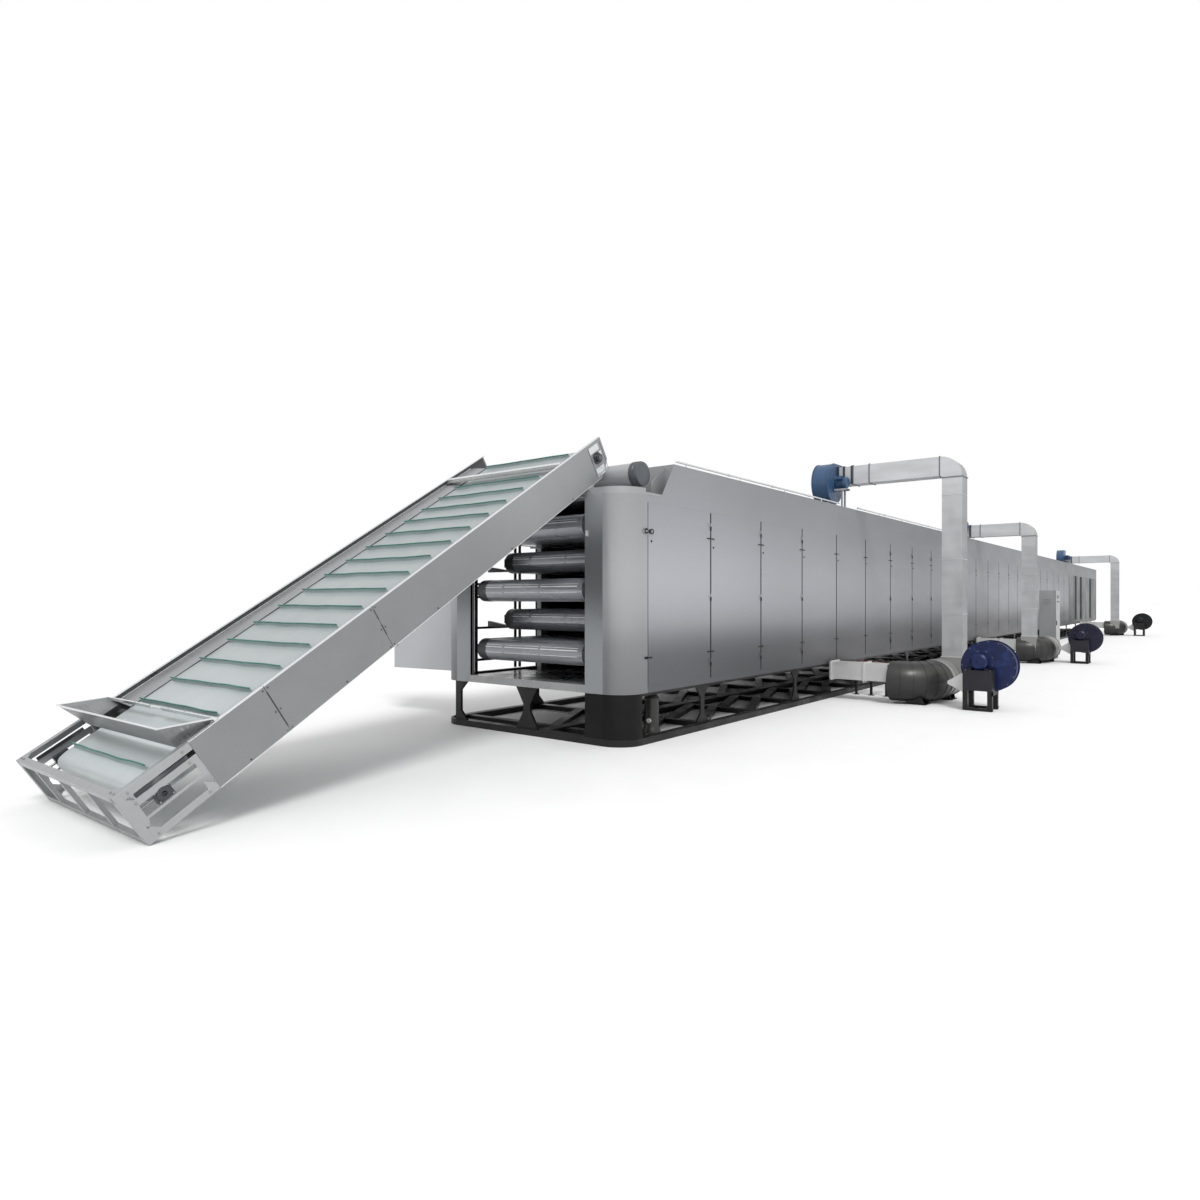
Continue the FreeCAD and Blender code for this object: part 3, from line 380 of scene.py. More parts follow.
# Front face strip of the corner sheets: the dark band from 1.55 to 2 m is the painted shadow of the feed conveyor,
# with painted shade low down.
FACE_PAINTED_SHADOW = look("face_steel_painted_shadow", linear(166, 169, 173), metallic=0.45, roughness=0.38, spread=0.04,
                 blotch=0.8, grain=30, grain_amount=0.3, bump=0.03, ripple=0.002,
                 bands=[(0.0, 0.7), (0.6, 0.8), (1.0, 0.82), (1.25, 0.7), (1.55, 0.34), (2.0, 0.34), (2.25, 0.75),
                        (2.6, 1.0)])
PLAIN = look("plain_steel", linear(178, 180, 183), metallic=0.35, roughness=0.42, spread=0.05,
             blotch=0.7, grain=40, grain_amount=0.4, ripple=0.003)
# Rounded corner sheets: painted shade from the conveyor, darker below 1.2 m, and a painted reflection lightest near
# 1.6 m.
CORNER_PAINTED_SHADE = look("corner_steel_painted_shade", linear(162, 163, 165), metallic=0.45, roughness=0.38, spread=0.04,
                   blotch=0.6, grain=40, grain_amount=0.3, bump=0.04, ripple=0.003,
                   bands=[(0.0, 0.48), (0.6, 0.5), (1.0, 0.66), (1.2, 0.86), (1.6, 1.15), (2.0, 1.06), (2.6, 0.9)])
PORTAL = look("portal_steel", linear(165, 167, 168), metallic=0.5, roughness=0.4, spread=0.07,
              grain=40, stretch=(1, 6, 1), ripple=0.003)
ROOF_LOOK = look("roof_steel", linear(158, 160, 163), metallic=0.5, roughness=0.45, spread=0.1,
                 blotch=0.7, ripple=0.008, stain=(linear(130, 131, 132), 0.3))
INNER = look("inner_frame", linear(40, 40, 42), metallic=0.3, roughness=0.5, spread=0.2,
             stain=(linear(58, 54, 50), 0.3))
TRAY = look("tray_steel", linear(150, 151, 152), metallic=0.45, roughness=0.26, spread=0.1,
            blotch=1.8, ripple=0.004)
MESH = look("belt_mesh", linear(151, 153, 159), metallic=0.55, roughness=0.26, spread=0.08,
            grain=120, stretch=(1, 0.2, 1), grain_amount=0.4, bump=0.12, bump_depth=0.001)
# Near-white strips laid on the belt wraps as painted highlights.
BELT_PAINTED_HIGHLIGHT = look("belt_painted_highlight", linear(236, 238, 240), metallic=0.2, roughness=0.3, spread=0.05)
DRUM = look("drum_steel", linear(118, 120, 126), metallic=0.9, roughness=0.28, spread=0.12)
CHAIN = look("chain_steel", linear(44, 44, 48), metallic=0.7, roughness=0.42, spread=0.25)
# Conveyor side plates: tone by height is painted light, lighter towards the head end at the top.
PLATE = look("conveyor_plate_painted_light", linear(138, 140, 141), metallic=0.5, roughness=0.4, spread=0.06,
             bands=[(0.0, 1.02), (0.5, 1.03), (1.3, 0.93), (1.9, 1.05), (2.4, 1.3), (3.0, 1.35)],
             blotch=0.8, stretch=(3, 1, 3), grain=45, grain_amount=0.5, bump=0.06, ripple=0.003)
BRIGHT = look("bright_edge", linear(226, 228, 229), metallic=0.6, roughness=0.26, spread=0.06)
# A dark liner as painted shade on the inner face of the conveyor side plates.
INSIDE_PAINTED_SHADE = look("inside_plate_painted_shade", linear(92, 93, 95), metallic=0.4, roughness=0.45, spread=0.12)
FLIGHT = look("flight_pale", linear(150, 166, 165), roughness=0.4, spread=0.06, blotch=4, grain=60)
BEARING = look("bearing_paint", linear(62, 64, 68), metallic=0.3, roughness=0.4, spread=0.2,
               stain=(linear(120, 120, 118), 0.25))
BELT = look("feed_belt", linear(166, 172, 173), roughness=0.4, spread=0.04, blotch=1.6,
            bands=[(0.0, 1.3), (0.5, 1.3), (0.85, 1.08), (1.3, 0.92), (3.0, 0.94)],
            grain=25, grain_amount=0.2, bump=0.04, coat=0.15)
TEAL = look("flight_rubber", linear(44, 112, 98), roughness=0.46, spread=0.16, blotch=5,
            grain=90, stain=(linear(70, 130, 118), 0.25))
RUBBER = look("seal_rubber", linear(26, 26, 28), roughness=0.75, spread=0.3, grain=120)
LATCH = look("latch_steel", linear(40, 40, 43), metallic=0.6, roughness=0.4, spread=0.3,
             grain=150, stain=(linear(96, 96, 98), 0.2))
ZINC = look("bolt_zinc", linear(150, 150, 148), metallic=0.8, roughness=0.35, spread=0.2)
BLACK = look("frame_black", linear(11, 10, 11), metallic=0.15, roughness=0.46, spread=0.3,
             blotch=2.0, bump=0.3, bands=[(0.0, 1.3), (0.12, 1.05), (0.6, 1.0)],
             stain=(linear(22, 20, 18), 0.12))
SKIRT = look("skirt_black", linear(11, 10, 10), roughness=0.42, spread=0.15, shine=0.22,
             ripple=0.003, stain=(linear(17, 16, 15), 0.2))
CAP = look("tube_cap", linear(92, 95, 100), metallic=0.45, roughness=0.42, spread=0.14, blotch=4)
TANK = look("tank_olive", linear(58, 58, 55), metallic=0.4, roughness=0.4, spread=0.2)
MOTOR = look("motor_black", linear(38, 38, 40), metallic=0.4, roughness=0.42, spread=0.25)
# Duct sheet: grain and slack-sheet relief, and painted light by height, lighter on the top of the run from 3.1 m.
DUCT_SHEET_AND_PAINTED_LIGHT = dict(metallic=0.3, roughness=0.42, spread=0.06, blotch=1.2, grain=2.2, stretch=(0.7, 0.7, 3.2),
                   bump=0.02, ripple=0.012, folds=(0.8, 0.8, 2.6), rough_spread=0.04,
                   bands=[(0.0, 1.0), (2.6, 0.98), (3.1, 1.3), (3.6, 1.4)])
DUCT = look("duct_sheet", linear(178, 179, 181), grain_amount=1.4, **DUCT_SHEET_AND_PAINTED_LIGHT)
# A darker copy of the duct sheet as painted shade, for the faces turned along Y.
DUCT_SHADED_FLANK = look("duct_flank_painted_shade", linear(138, 139, 141), grain_amount=1.6, **DUCT_SHEET_AND_PAINTED_LIGHT)
DUCT_SEAM = look("duct_seam", linear(104, 106, 109), metallic=0.5, roughness=0.4, spread=0.1)
# Heater elbow: darker towards the bottom as painted shade on its underside.
HEATER = look("heater_steel", linear(62, 62, 61), metallic=0.4, roughness=0.4, spread=0.08,
              blotch=2.0, ripple=0.003, bands=[(0.0, 0.25), (0.12, 0.4), (0.3, 0.75), (0.5, 1.05), (0.9, 1.1)])
# Heater drum, bands and saddle: darker towards the bottom as painted shade.
SADDLE = look("saddle_sheet_painted_shade", linear(154, 154, 152), metallic=0.35, roughness=0.42, spread=0.06,
              blotch=1.6, ripple=0.003, bands=[(0.0, 0.12), (0.1, 0.25), (0.24, 0.7), (0.42, 1.0), (0.9, 1.05)])
ADAPTER = look("adapter_sheet", linear(206, 206, 205), metallic=0.4, roughness=0.4, spread=0.08,
               ripple=0.004)
FAN_BLUE = look("fan_blue", linear(52, 82, 116), roughness=0.42, spread=0.1, blotch=3,
                coat=0.15, bump=0.15, stain=(linear(58, 88, 118), 0.3))
FAN_DARK = look("fan_dark", linear(44, 52, 64), roughness=0.4, spread=0.15, blotch=4, coat=0.2)
STEEL_LEG = look("leg_steel", linear(168, 170, 172), metallic=0.4, roughness=0.4, spread=0.08)
NAVY = look("blower_blue", linear(13, 26, 70), roughness=0.36, spread=0.14, blotch=3, shine=0.35,
            bump=0.15, stain=(linear(24, 44, 92), 0.3))
PURPLE = look("blower_navy", linear(22, 19, 46), roughness=0.38, spread=0.14, blotch=3,
              shine=0.4, bump=0.15, stain=(linear(30, 28, 48), 0.2))
SOOT = look("blower_black", linear(12, 14, 18), roughness=0.4, spread=0.2, blotch=3, shine=0.35,
            stain=(linear(22, 24, 28), 0.2))
STAND = look("stand_dark", linear(18, 17, 28), roughness=0.5, spread=0.2, blotch=3)
WHEEL = look("wheel_steel", linear(96, 98, 102), metallic=0.8, roughness=0.4, spread=0.2)
RUST = look("pipe_paint", linear(96, 44, 38), roughness=0.45, spread=0.25, blotch=6, coat=0.2,
            stain=(linear(60, 34, 30), 0.4))
GREY_BOX = look("control_grey", linear(150, 151, 152), roughness=0.42, spread=0.07, blotch=2,
                grain=160, bump=0.2, coat=0.15)
DARK_DOOR = look("dark_lining", linear(92, 94, 98), metallic=0.5, roughness=0.4, spread=0.12)

CAD_LOOKS = {
    "base_rails": BLACK, "base_lattice": BLACK, "base_legs": BLACK, "rear_panel": WALL,
    "wall_posts": INNER, "side_fascias": WALL, "floor_and_tray": TRAY, "feed_portal": PORTAL,
    "roof_panels": ROOF_LOOK, "belt_frames": INNER, "feed_bed": PORTAL,
    "feed_head_roller": DRUM, "feed_tail_roller": DRUM, "roof_fan_wheel_1": WHEEL,
}
for k in range(1, 6):
    CAD_LOOKS["front_drum_%d" % k] = CAD_LOOKS["rear_drum_%d" % k] = DRUM
for k in range(1, 4):
    CAD_LOOKS["blower_wheel_%d" % k] = WHEEL
for node, surface in CAD_LOOKS.items():
    slots = NODES[node].data.materials
    for k in range(len(slots)):
        slots[k] = surface
    if not slots:
        slots.append(surface)


# ---------------------------------------------------------------- doors and walls

HANDLE_HEIGHT, LOCK_HEIGHT, LOW_LATCH = 2.162, 2.064, 0.877
HINGE_ROWS = (0.76, 1.5, 2.3)
HINGE_LONG = 0.038
# Doors from this one on have skins darkened by painted shade.
FIRST_SHADED_DOOR = 23
PIVOT_BACK, PIVOT_OUT = 0.004, 0.008


def bow_handle(shape, x, z, facing):
    """A C-shaped pull that stands off the skin on two feet."""
    front = -SKIN - 0.016
    path = arc((x, front, z), 0.024, 40, 320, 12, ((facing, 0, 0), (0, 0, 1)))
    shape.wire(path, 0.0055)
    for end in (path[0], path[-1]):
        shape.rod(end, (end[0], -SKIN + 0.001, end[2]), 0.0055, 8)


def dash(shape, x0, x1, z):
    """A thin dark latch tongue lying on the skin."""
    shape.block(x0, x1, -SKIN - 0.006, -SKIN, z - 0.006, z + 0.006)
    shape.block(x0 + (x1 - x0) * 0.4, x0 + (x1 - x0) * 0.6, -SKIN - 0.014, -SKIN - 0.006, z - 0.005, z + 0.005)


def slide_latch(shape, x, z, length):
    """A bolt in two keepers on a small backing plate."""
    shape.block(x, x + length, -SKIN - 0.004, -SKIN + 0.001, z - 0.013, z + 0.013)
    shape.rod((x + 0.004, -SKIN - 0.011, z), (x + length - 0.004, -SKIN - 0.011, z), 0.006, 10)
    shape.block(x + length * 0.45, x + length * 0.6, -SKIN - 0.021, -SKIN - 0.002, z - 0.009, z + 0.009)


def furniture(shape, left, right, index):
    """Latch tongues at both seams, a lock, and the pull beside the first seam."""
    if index == 0:
        bow_handle(shape, left + 0.046, HANDLE_HEIGHT, -1)
        slide_latch(shape, left + 0.004, HANDLE_HEIGHT, 0.02)
    else:
        dash(shape, left, left + 0.075, HANDLE_HEIGHT)
    dash(shape, right - 0.075, right, HANDLE_HEIGHT)
    shape.turned([(0.011, 0), (0.011, 0.006), (0.008, 0.009), (0.004, 0.009), (0.004, 0.007)],
                 (left + 0.055, -SKIN + 0.001, LOCK_HEIGHT), (0, -1, 0), 16)
    dash(shape, left, left + 0.07, LOW_LATCH)
    dash(shape, right - 0.07, right, LOW_LATCH)


SLOTS = {24: (0.36, 0.88), 25: (0.64, 1.14), 28: (0.02, 0.62)}      # dark louvres from the door's left edge


def leaf(shape, index, hinged):
    """One door: folded skin, returns, lining, seal and hardware. Tones: skin, hardware, lining, seal, skin with
    painted shade.
    """
    left = FIRST_SEAM + index * PITCH + GAP
    right = left + PITCH - 2 * GAP
    low, high = DOOR_LOW.z, DOOR_HIGH.z
    outer = -SKIN
    depth = 0.04
    # Far-end doors take the skin darkened by painted shade.
    shape.tone = 4 if index >= FIRST_SHADED_DOOR else 0
    shape.pan(left, right, outer, outer + depth, low, high)
    shape.tone = 2
    shape.block(left + 0.003, right - 0.003, outer + depth - 0.004, outer + depth - 0.001,
                low + 0.003, high - 0.003)
    shape.tone = 3
    inset = 0.012
    for x in (left + inset, right - 2 * inset):
        shape.block(x, x + inset, outer + depth - 0.001, outer + depth + 0.006, low + inset, high - inset)
    lip = 0.007
    if index:
        shape.block(left, left + lip, outer - 0.001, outer, low, high)
    shape.block(right - lip, right, outer - 0.001, outer, low, high)
    if index in SLOTS:
        start, end = SLOTS[index]
        shape.block(left + start, left + end, outer - 0.003, outer, 0.66, 2.44)
        for k in range(36):
            z = 0.68 + k * 0.048
            shape.prism([(left + start + 0.02, outer - 0.003, z), (left + start + 0.02, outer - 0.003, z + 0.03),
                         (left + start + 0.02, outer - 0.014, z)], (end - start - 0.04, 0, 0))
    shape.tone = 1
    furniture(shape, left, right, index)
    if hinged:
        shape.tone = 0
        pivot = right + GAP - PIVOT_BACK         # distance along the wall of the hinge pins
        for z in HINGE_ROWS:
            shape.block(right - 0.05, right - 0.001, outer - 0.003, outer, z, z + HINGE_LONG)
            shape.tube((pivot, outer - PIVOT_OUT, z), (pivot, outer - PIVOT_OUT, z + HINGE_LONG),
                       0.007, 0.00405, 16)
            shape.bolts([(right - 0.036, outer - 0.003, z + 0.01), (right - 0.036, outer - 0.003, z + 0.028)],
                        (0, -1, 0), 0.004, 0.003)


# The last look is the wall sheet darkened by painted shade, for far-end door skins.
DOOR_LOOKS = [WALL, LATCH, DARK_DOOR, RUBBER, FAR_END_SHADED_WALL]
MOVING = {"near_door_%02d" % (k + 1): k for k in (0, 1, 2, 5, 6, 7, 8)}
for node, index in MOVING.items():
    shape = Shape()
    leaf(shape, index, True)
    piece(node.replace("near_door", "door_leaf"), shape, node, DOOR_LOOKS, [node], 0.0012)
shape = Shape()
for index in range(DOORS):
    if index not in MOVING.values():
        shape.place = NEAR_SIDE
        leaf(shape, index, False)
    if index:
        shape.place = FAR_SIDE
        leaf(shape, index, False)
piece("door_leaves_shut", shape, HOUSING, DOOR_LOOKS, ["fixed_doors"], 0.0012)

# The open door is the first far one, mirrored end for end and turned about its own pin.
turn = math.radians(97)
hinge = Vector((FIRST_SEAM + PIVOT_BACK, SKIN + PIVOT_OUT, 0))
middle = FIRST_SEAM + PITCH / 2
end_for_end = Matrix.Translation((2 * middle, 0, 0)) @ Matrix.Diagonal((-1, 1, 1, 1))
opened = Matrix.Translation(hinge) @ Matrix.Rotation(turn, 4, "Z") @ Matrix.Translation(-hinge)
shape = Shape(opened @ FAR_SIDE @ end_for_end)
leaf(shape, 0, True)
piece("door_leaf_open", shape, "far_door_01", [PLAIN, LATCH, PLAIN, RUBBER], ["far_door_01"], 0.0012)

shape = Shape()
for place in SIDES:
    shape.place = place
    for index in range(DOORS + 1):
        x = FIRST_SEAM + index * PITCH
        half = 0.0035 if index == 0 else 0.0052
        shape.block(x - half, x + half, -SKIN + 0.002, -SKIN + 0.049, DOOR_LOW.z, DOOR_HIGH.z)
piece("seam_seals", shape, HOUSING, RUBBER)


def bent_corner(shape, z0, z1, side_end, thick=SHEET, face_tone=0):
    """A sheet from the mouth edge across the face, round the bend and along the side."""
    bend_y = -SKIN + CORNER
    bent_tone = shape.tone
    shape.tone = face_tone
    shape.block(0, thick, bend_y, -MOUTH_EDGE, z0, z1)
    shape.tone = bent_tone
    centre = (CORNER, bend_y, z0)
    outer = arc(centre, CORNER, 180, 270, 24, PLAN)
    outer.append(Vector((side_end, -SKIN, z0)))
    inner = arc(centre, CORNER - thick, 180, 270, 24, PLAN)
    inner.append(Vector((side_end, -SKIN + thick, z0)))
    shape.prism(outer + inner[::-1], (0, 0, z1 - z0))


shape = Shape()
for place in SIDES:
    shape.place = place
    shape.tone = 0
    edge = FIRST_SEAM - GAP
    # The bend takes the sheet with painted shade, the face strip the sheet with the painted shadow of the conveyor.
    bent_corner(shape, WALL_FOOT, CORNER_TOP, edge, face_tone=3)
    shape.block(edge - SHEET, edge, -SKIN + SHEET, -SKIN + 0.04, WALL_FOOT, CORNER_TOP)
    shape.block(SHEET, 0.03, -MOUTH_EDGE - 0.002, -MOUTH_EDGE, WALL_FOOT + 0.08, CORNER_TOP)
    shape.tone = 1
    bow_handle(shape, edge - 0.044, HANDLE_HEIGHT, 1)
    slide_latch(shape, edge - 0.05, LOW_LATCH, 0.046)
    shape.tone = 2
    shape.block(-0.012, 0, -0.9, -0.872, 2.11, 2.17)
    shape.bolts([(-0.012, -0.886, 2.125), (-0.012, -0.886, 2.155)], (-1, 0, 0), 0.007, 0.005)
piece("corner_sheets", shape, HOUSING, [CORNER_PAINTED_SHADE, LATCH, BRIGHT, FACE_PAINTED_SHADOW], ["corner_panels"])

shape = Shape()
for place in SIDES:
    shape.place = place
    first, last = FIRST_SEAM - GAP, FIRST_SEAM + DOORS * PITCH + GAP
    if place is FAR_SIDE:
        first += PITCH
    for z in (DOOR_HIGH.z, DOOR_LOW.z - GAP):
        shape.block(first, last, -SKIN + 0.0012, -SKIN + 0.003, z, z + GAP)
piece("gap_strips", shape, HOUSING, WALL)

shape = Shape()
for place in SIDES:
    shape.place = place
    low, high = CORNER_TOP, CORNER_TOP + 0.066
    path = arc((CORNER, -SKIN + CORNER, (low + high) / 2), CORNER - 0.008, 180, 270, 20, PLAN)
    path.append(path[-1] + Vector((0.075, 0, 0)))
    half = (high - low) / 2
    section = [(-half, -0.01), (-half + 0.008, -0.016), (half - 0.008, -0.016), (half, -0.01), (half, 0.008),
               (-half, 0.008)]
    shape.swept(path, section, (0, 0, 1))
piece("roof_edge_trim", shape, HOUSING, PORTAL)


# ---------------------------------------------------------------- feed conveyor (u up the slope, w square to it)

PLATE_START, PLATE_END = 0.5, 5.32
SHEET_JOINTS = (1.07, 2.07)
TAIL_U, HEAD_U, ROLL_W = 0.23, 5.167, -0.171
WRAP = 0.089                                    # outer radius of the belt round its rollers
BELT_HALF = 0.645
FLIGHT_PITCH = 0.265
OUTER = -FEED_HALF
THICK = 0.004


def plate_outline(u0, u1, y):
    """The part of the side plate between two joints; the last one has the clipped head."""
    if u1 < PLATE_END:
        return [(u0, y, 0), (u1, y, 0), (u1, y, -FEED_DEPTH), (u0, y, -FEED_DEPTH)]
    return [(u0, y, 0), (u1, y, 0), (u1, y, -0.24), (u1 - 0.1, y, -0.346), (u1 - 0.18, y, -FEED_DEPTH),
            (u0, y, -FEED_DEPTH)]


def side_plates(shape):
    """Sheets with joint straps, folded top and bottom flanges, bolts, and a liner with painted shade."""
    joints = (PLATE_START, *SHEET_JOINTS, PLATE_END)
    for u0, u1 in zip(joints, joints[1:]):
        shape.tone = 0
        shape.prism(plate_outline(u0 + 0.0015, u1 - (0.0015 if u1 < PLATE_END else 0), OUTER),
                    (0, THICK * 0.75, 0))
        shape.tone = 1
        shape.block(u0 + 0.002, u1 - 0.002, OUTER - 0.001, OUTER + 0.034, -0.004, 0.001)
        low_end = min(u1, PLATE_END - 0.18) - 0.002
        shape.block(u0 + 0.002, low_end, OUTER - 0.001, OUTER + 0.03, -FEED_DEPTH - 0.001, -FEED_DEPTH + 0.004)
    shape.tone = 2
    for u, marks in ((SHEET_JOINTS[0], ((-0.334, -0.048),)), (SHEET_JOINTS[1], ((-0.12, -0.037), (-0.257, -0.17)))):
        for low_w, high_w in marks:
            shape.block(u - 0.005, u + 0.005, OUTER - 0.0012, OUTER, low_w, high_w)
    for u in SHEET_JOINTS:
        shape.block(u - 0.03, u + 0.03, OUTER + THICK, OUTER + THICK + 0.003, -FEED_DEPTH + 0.01, -0.02)
        shape.bolts([(u + s, OUTER, w) for s in (-0.02, 0.02) for w in (-0.36, -0.2, -0.025)], (0, -1, 0),
                    0.006, 0.004)
    shape.bolts([(u, OUTER, -FEED_DEPTH + 0.02) for u in (0.75, 1.6, 2.6, 3.6, 4.6)], (0, -1, 0), 0.007, 0.005)
    # A thin dark liner on the inner face below the top edge: painted shade.
    shape.tone = 4
    shape.prism([(u, OUTER + THICK, w) for u, w in ((0.52, -0.006), (5.3, -0.006), (5.3, -0.2), (0.52, -0.2))],
                (0, 0.0015, 0))


def head_covers(shape):
    """Bright cover strips, a bearing flange and a cut gusset on the head of the plate."""
    shape.tone = 1
    for u0, u1, w0, w1 in ((5.08, 5.245, -0.104, -0.038), (5.09, 5.235, -0.322, -0.262),
                           (5.09, 5.225, -0.346, -0.334)):
        shape.block(u0, u1, OUTER - 0.003, OUTER, w0, w1)
    shape.prism([(5.2, OUTER - 0.002, -0.128), (5.262, OUTER - 0.002, -0.122), (5.264, OUTER - 0.002, -0.172)],
                (0, 0.002, 0))
    shape.tone = 2
    for u in (5.07, 5.285):
        shape.block(u, u + 0.006, OUTER - 0.0015, OUTER, -0.34, -0.03)


def guide_strip(shape):
    """Leaning inner strip between the side plate and the belt, with its clamping bar."""
    wall = OUTER + THICK
    shape.tone = 3
    strip = [(0.74, wall, -0.045), (0.74, wall, -0.048), (0.74, -0.66, -0.071), (0.74, -0.64, -0.073),
             (0.74, -0.64, -0.069), (0.74, -0.66, -0.067)]
    shape.prism(strip, (4.33, 0, 0))
    shape.tone = 1
    shape.block(0.76, 5.05, wall, wall + 0.02, -0.044, -0.038)


shape = Shape()
for place in (ON_SLOPE, ON_SLOPE @ FAR_SIDE):
    shape.place = place
    side_plates(shape)
    head_covers(shape)
    guide_strip(shape)
piece("conveyor_sides", shape, HOUSING, [PLATE, BRIGHT, BEARING, PORTAL, INSIDE_PAINTED_SHADE],
      ["feed_side_plates"], 0.0008)


def bar_angle(shape, u0, u1, w0, w1, up):
    """An angle bar along the slope or square to it: a leg against the plate and a leg turned inwards."""
    leg = 0.05
    t = 0.005
    shape.block(u0, u1, OUTER, OUTER + t, w0, w1)
    if u1 - u0 > w1 - w0:
        w = w1 - t if up else w0
        shape.block(u0, u1, OUTER + t, OUTER + leg, w, w + t)
    else:
        shape.block(u0, u0 + t, OUTER + t, OUTER + leg, w0, w1)


def foot_side(shape):
    """The open lower frame seen from the side, with its take-up bearing in slides."""
    depth = FEED_DEPTH
    shape.tone = 0
    bar_angle(shape, 0.05, PLATE_START, -0.055, -0.001, True)
    bar_angle(shape, 0.05, PLATE_START, -depth, -depth + 0.048, False)
    shape.prism([(0, OUTER, -0.001), (0.05, OUTER, -0.001), (0.05, OUTER, -0.056), (0.085, OUTER, -0.09),
                 (0.085, OUTER, -0.255), (0.05, OUTER, -0.29), (0.05, OUTER, -depth), (0, OUTER, -depth)],
                (0, 0.005, 0))
    shape.block(0, 0.005, OUTER + 0.005, OUTER + 0.05, -depth, -0.001)
    for u, w0, w1 in ((0.085, -0.136, -0.09), (0.085, -0.24, -0.222), (0.462, -0.222, -0.136)):
        shape.block(u, PLATE_START, OUTER, OUTER + 0.005, w0, w1)
    for u in (0.05, 0.44):
        shape.prism([(u, OUTER, -depth + 0.048), (u + 0.06, OUTER, -depth + 0.048), (u, OUTER, -depth + 0.11)],
                    (0, 0.005, 0))
    shape.tone = 1
    shape.block(0.1, 0.45, OUTER + 0.005, OUTER + 0.012, -0.088, -0.064)
    shape.block(TAIL_U - 0.055, TAIL_U + 0.055, OUTER + 0.006, OUTER + 0.052, ROLL_W - 0.045, ROLL_W + 0.045)
    shape.turned([(0.045, 0), (0.045, 0.006), (0.036, 0.012), (0.018, 0.012), (0.018, 0.004)],
                 (TAIL_U, OUTER + 0.006, ROLL_W), (0, -1, 0), 20)
    shape.tone = 2
    shape.rod((0.05, OUTER + 0.03, ROLL_W), (TAIL_U - 0.055, OUTER + 0.03, ROLL_W), 0.009)
    shape.turned([(0.018, 0), (0.018, 0.012)], (0.075, OUTER + 0.03, ROLL_W), (1, 0, 0), 6)
    shape.bolts([(TAIL_U + a, OUTER + 0.006, ROLL_W + b) for a in (-0.044, 0.044) for b in (-0.034, 0.034)],
                (0, -1, 0), 0.007, 0.006)
    shape.bolts([(u, OUTER, w) for u in (0.08, 0.44) for w in (-0.03, -0.115, -0.354)], (0, -1, 0), 0.008, 0.006)


def foot_end(shape):
    """Top and bottom end bars with large corner gussets, and three short braces between them."""
    depth = FEED_DEPTH
    inner = OUTER + 0.005
    shape.tone = 0
    for w in (-0.005, -depth):
        outline = [(0, inner, w), (0, -inner, w), (0.12, -inner, w), (0.05, -inner - 0.11, w),
                   (0.05, inner + 0.11, w), (0.12, inner, w)]
        shape.prism(outline, (0, 0, 0.005))
        lip = w - 0.04 if w > -0.1 else w + 0.005
        shape.block(0, 0.005, inner, -inner, lip, lip + 0.04)
    for y in (-0.42, 0.06, 0.52):
        shape.block(0, 0.005, y, y + 0.03, -depth + 0.045, -0.045)
        shape.block(0.005, 0.03, y, y + 0.005, -depth + 0.045, -0.045)
    shape.tone = 2
    shape.bolts([(0.03, s * (FEED_HALF - 0.04 - k * 0.05), 0) for s in (-1, 1) for k in range(2)], (0, 0, 1),
                0.008, 0.006)


shape = Shape()
for place in (ON_SLOPE, ON_SLOPE @ FAR_SIDE):
    shape.place = place
    foot_side(shape)
shape.place = ON_SLOPE
foot_end(shape)
piece("conveyor_foot", shape, HOUSING, [PORTAL, BEARING, ZINC], ["feed_foot"], 0.0012)


def loop_height(distance, start, end, radius):
    """A place on a belt loop: (u, w offset) for a distance round it from the tail's top."""
    run = end - start
    wrap = math.pi * radius
    if distance < run:
        return start + distance, radius
    distance -= run
    if distance < wrap:
        angle = math.pi / 2 - distance / radius
        return end + radius * math.cos(angle), radius * math.sin(angle)
    distance -= wrap
    if distance < run:
        return end - distance, -radius
    angle = -math.pi / 2 - (distance - run) / radius
    return start + radius * math.cos(angle), radius * math.sin(angle)


def feed_belt(shape):
    """The rubber belt: a thin loop whose top run lies slightly uneven between its flights."""
    length = 2 * (HEAD_U - TAIL_U) + 2 * math.pi * WRAP
    steps = 380
    across = 18
    rings = []
    for k in range(steps):
        u, w = loop_height(length * k / steps, TAIL_U, HEAD_U, WRAP)
        inner_u, inner_w = loop_height(length * k / steps, TAIL_U, HEAD_U, WRAP - THICK)
        ends = 0.0 if TAIL_U + 0.1 < u < HEAD_U - 0.1 and w > 0 else 1.0
        outer_line, inner_line = [], []
        for j in range(across + 1):
            y = -BELT_HALF + 2 * BELT_HALF * j / across
            lift = 0 if ends else 0.0035 * (noise.noise((u * 3.1, y * 4.3, 2.0)) + 0.6)
            outer_line.append(shape.vertex((u, y, ROLL_W + w + lift)))
            inner_line.append(shape.vertex((u if w > 0 else inner_u, y, ROLL_W + inner_w + lift)))
        rings.append(outer_line + inner_line[::-1])
    shape.skin(rings, closed=True)


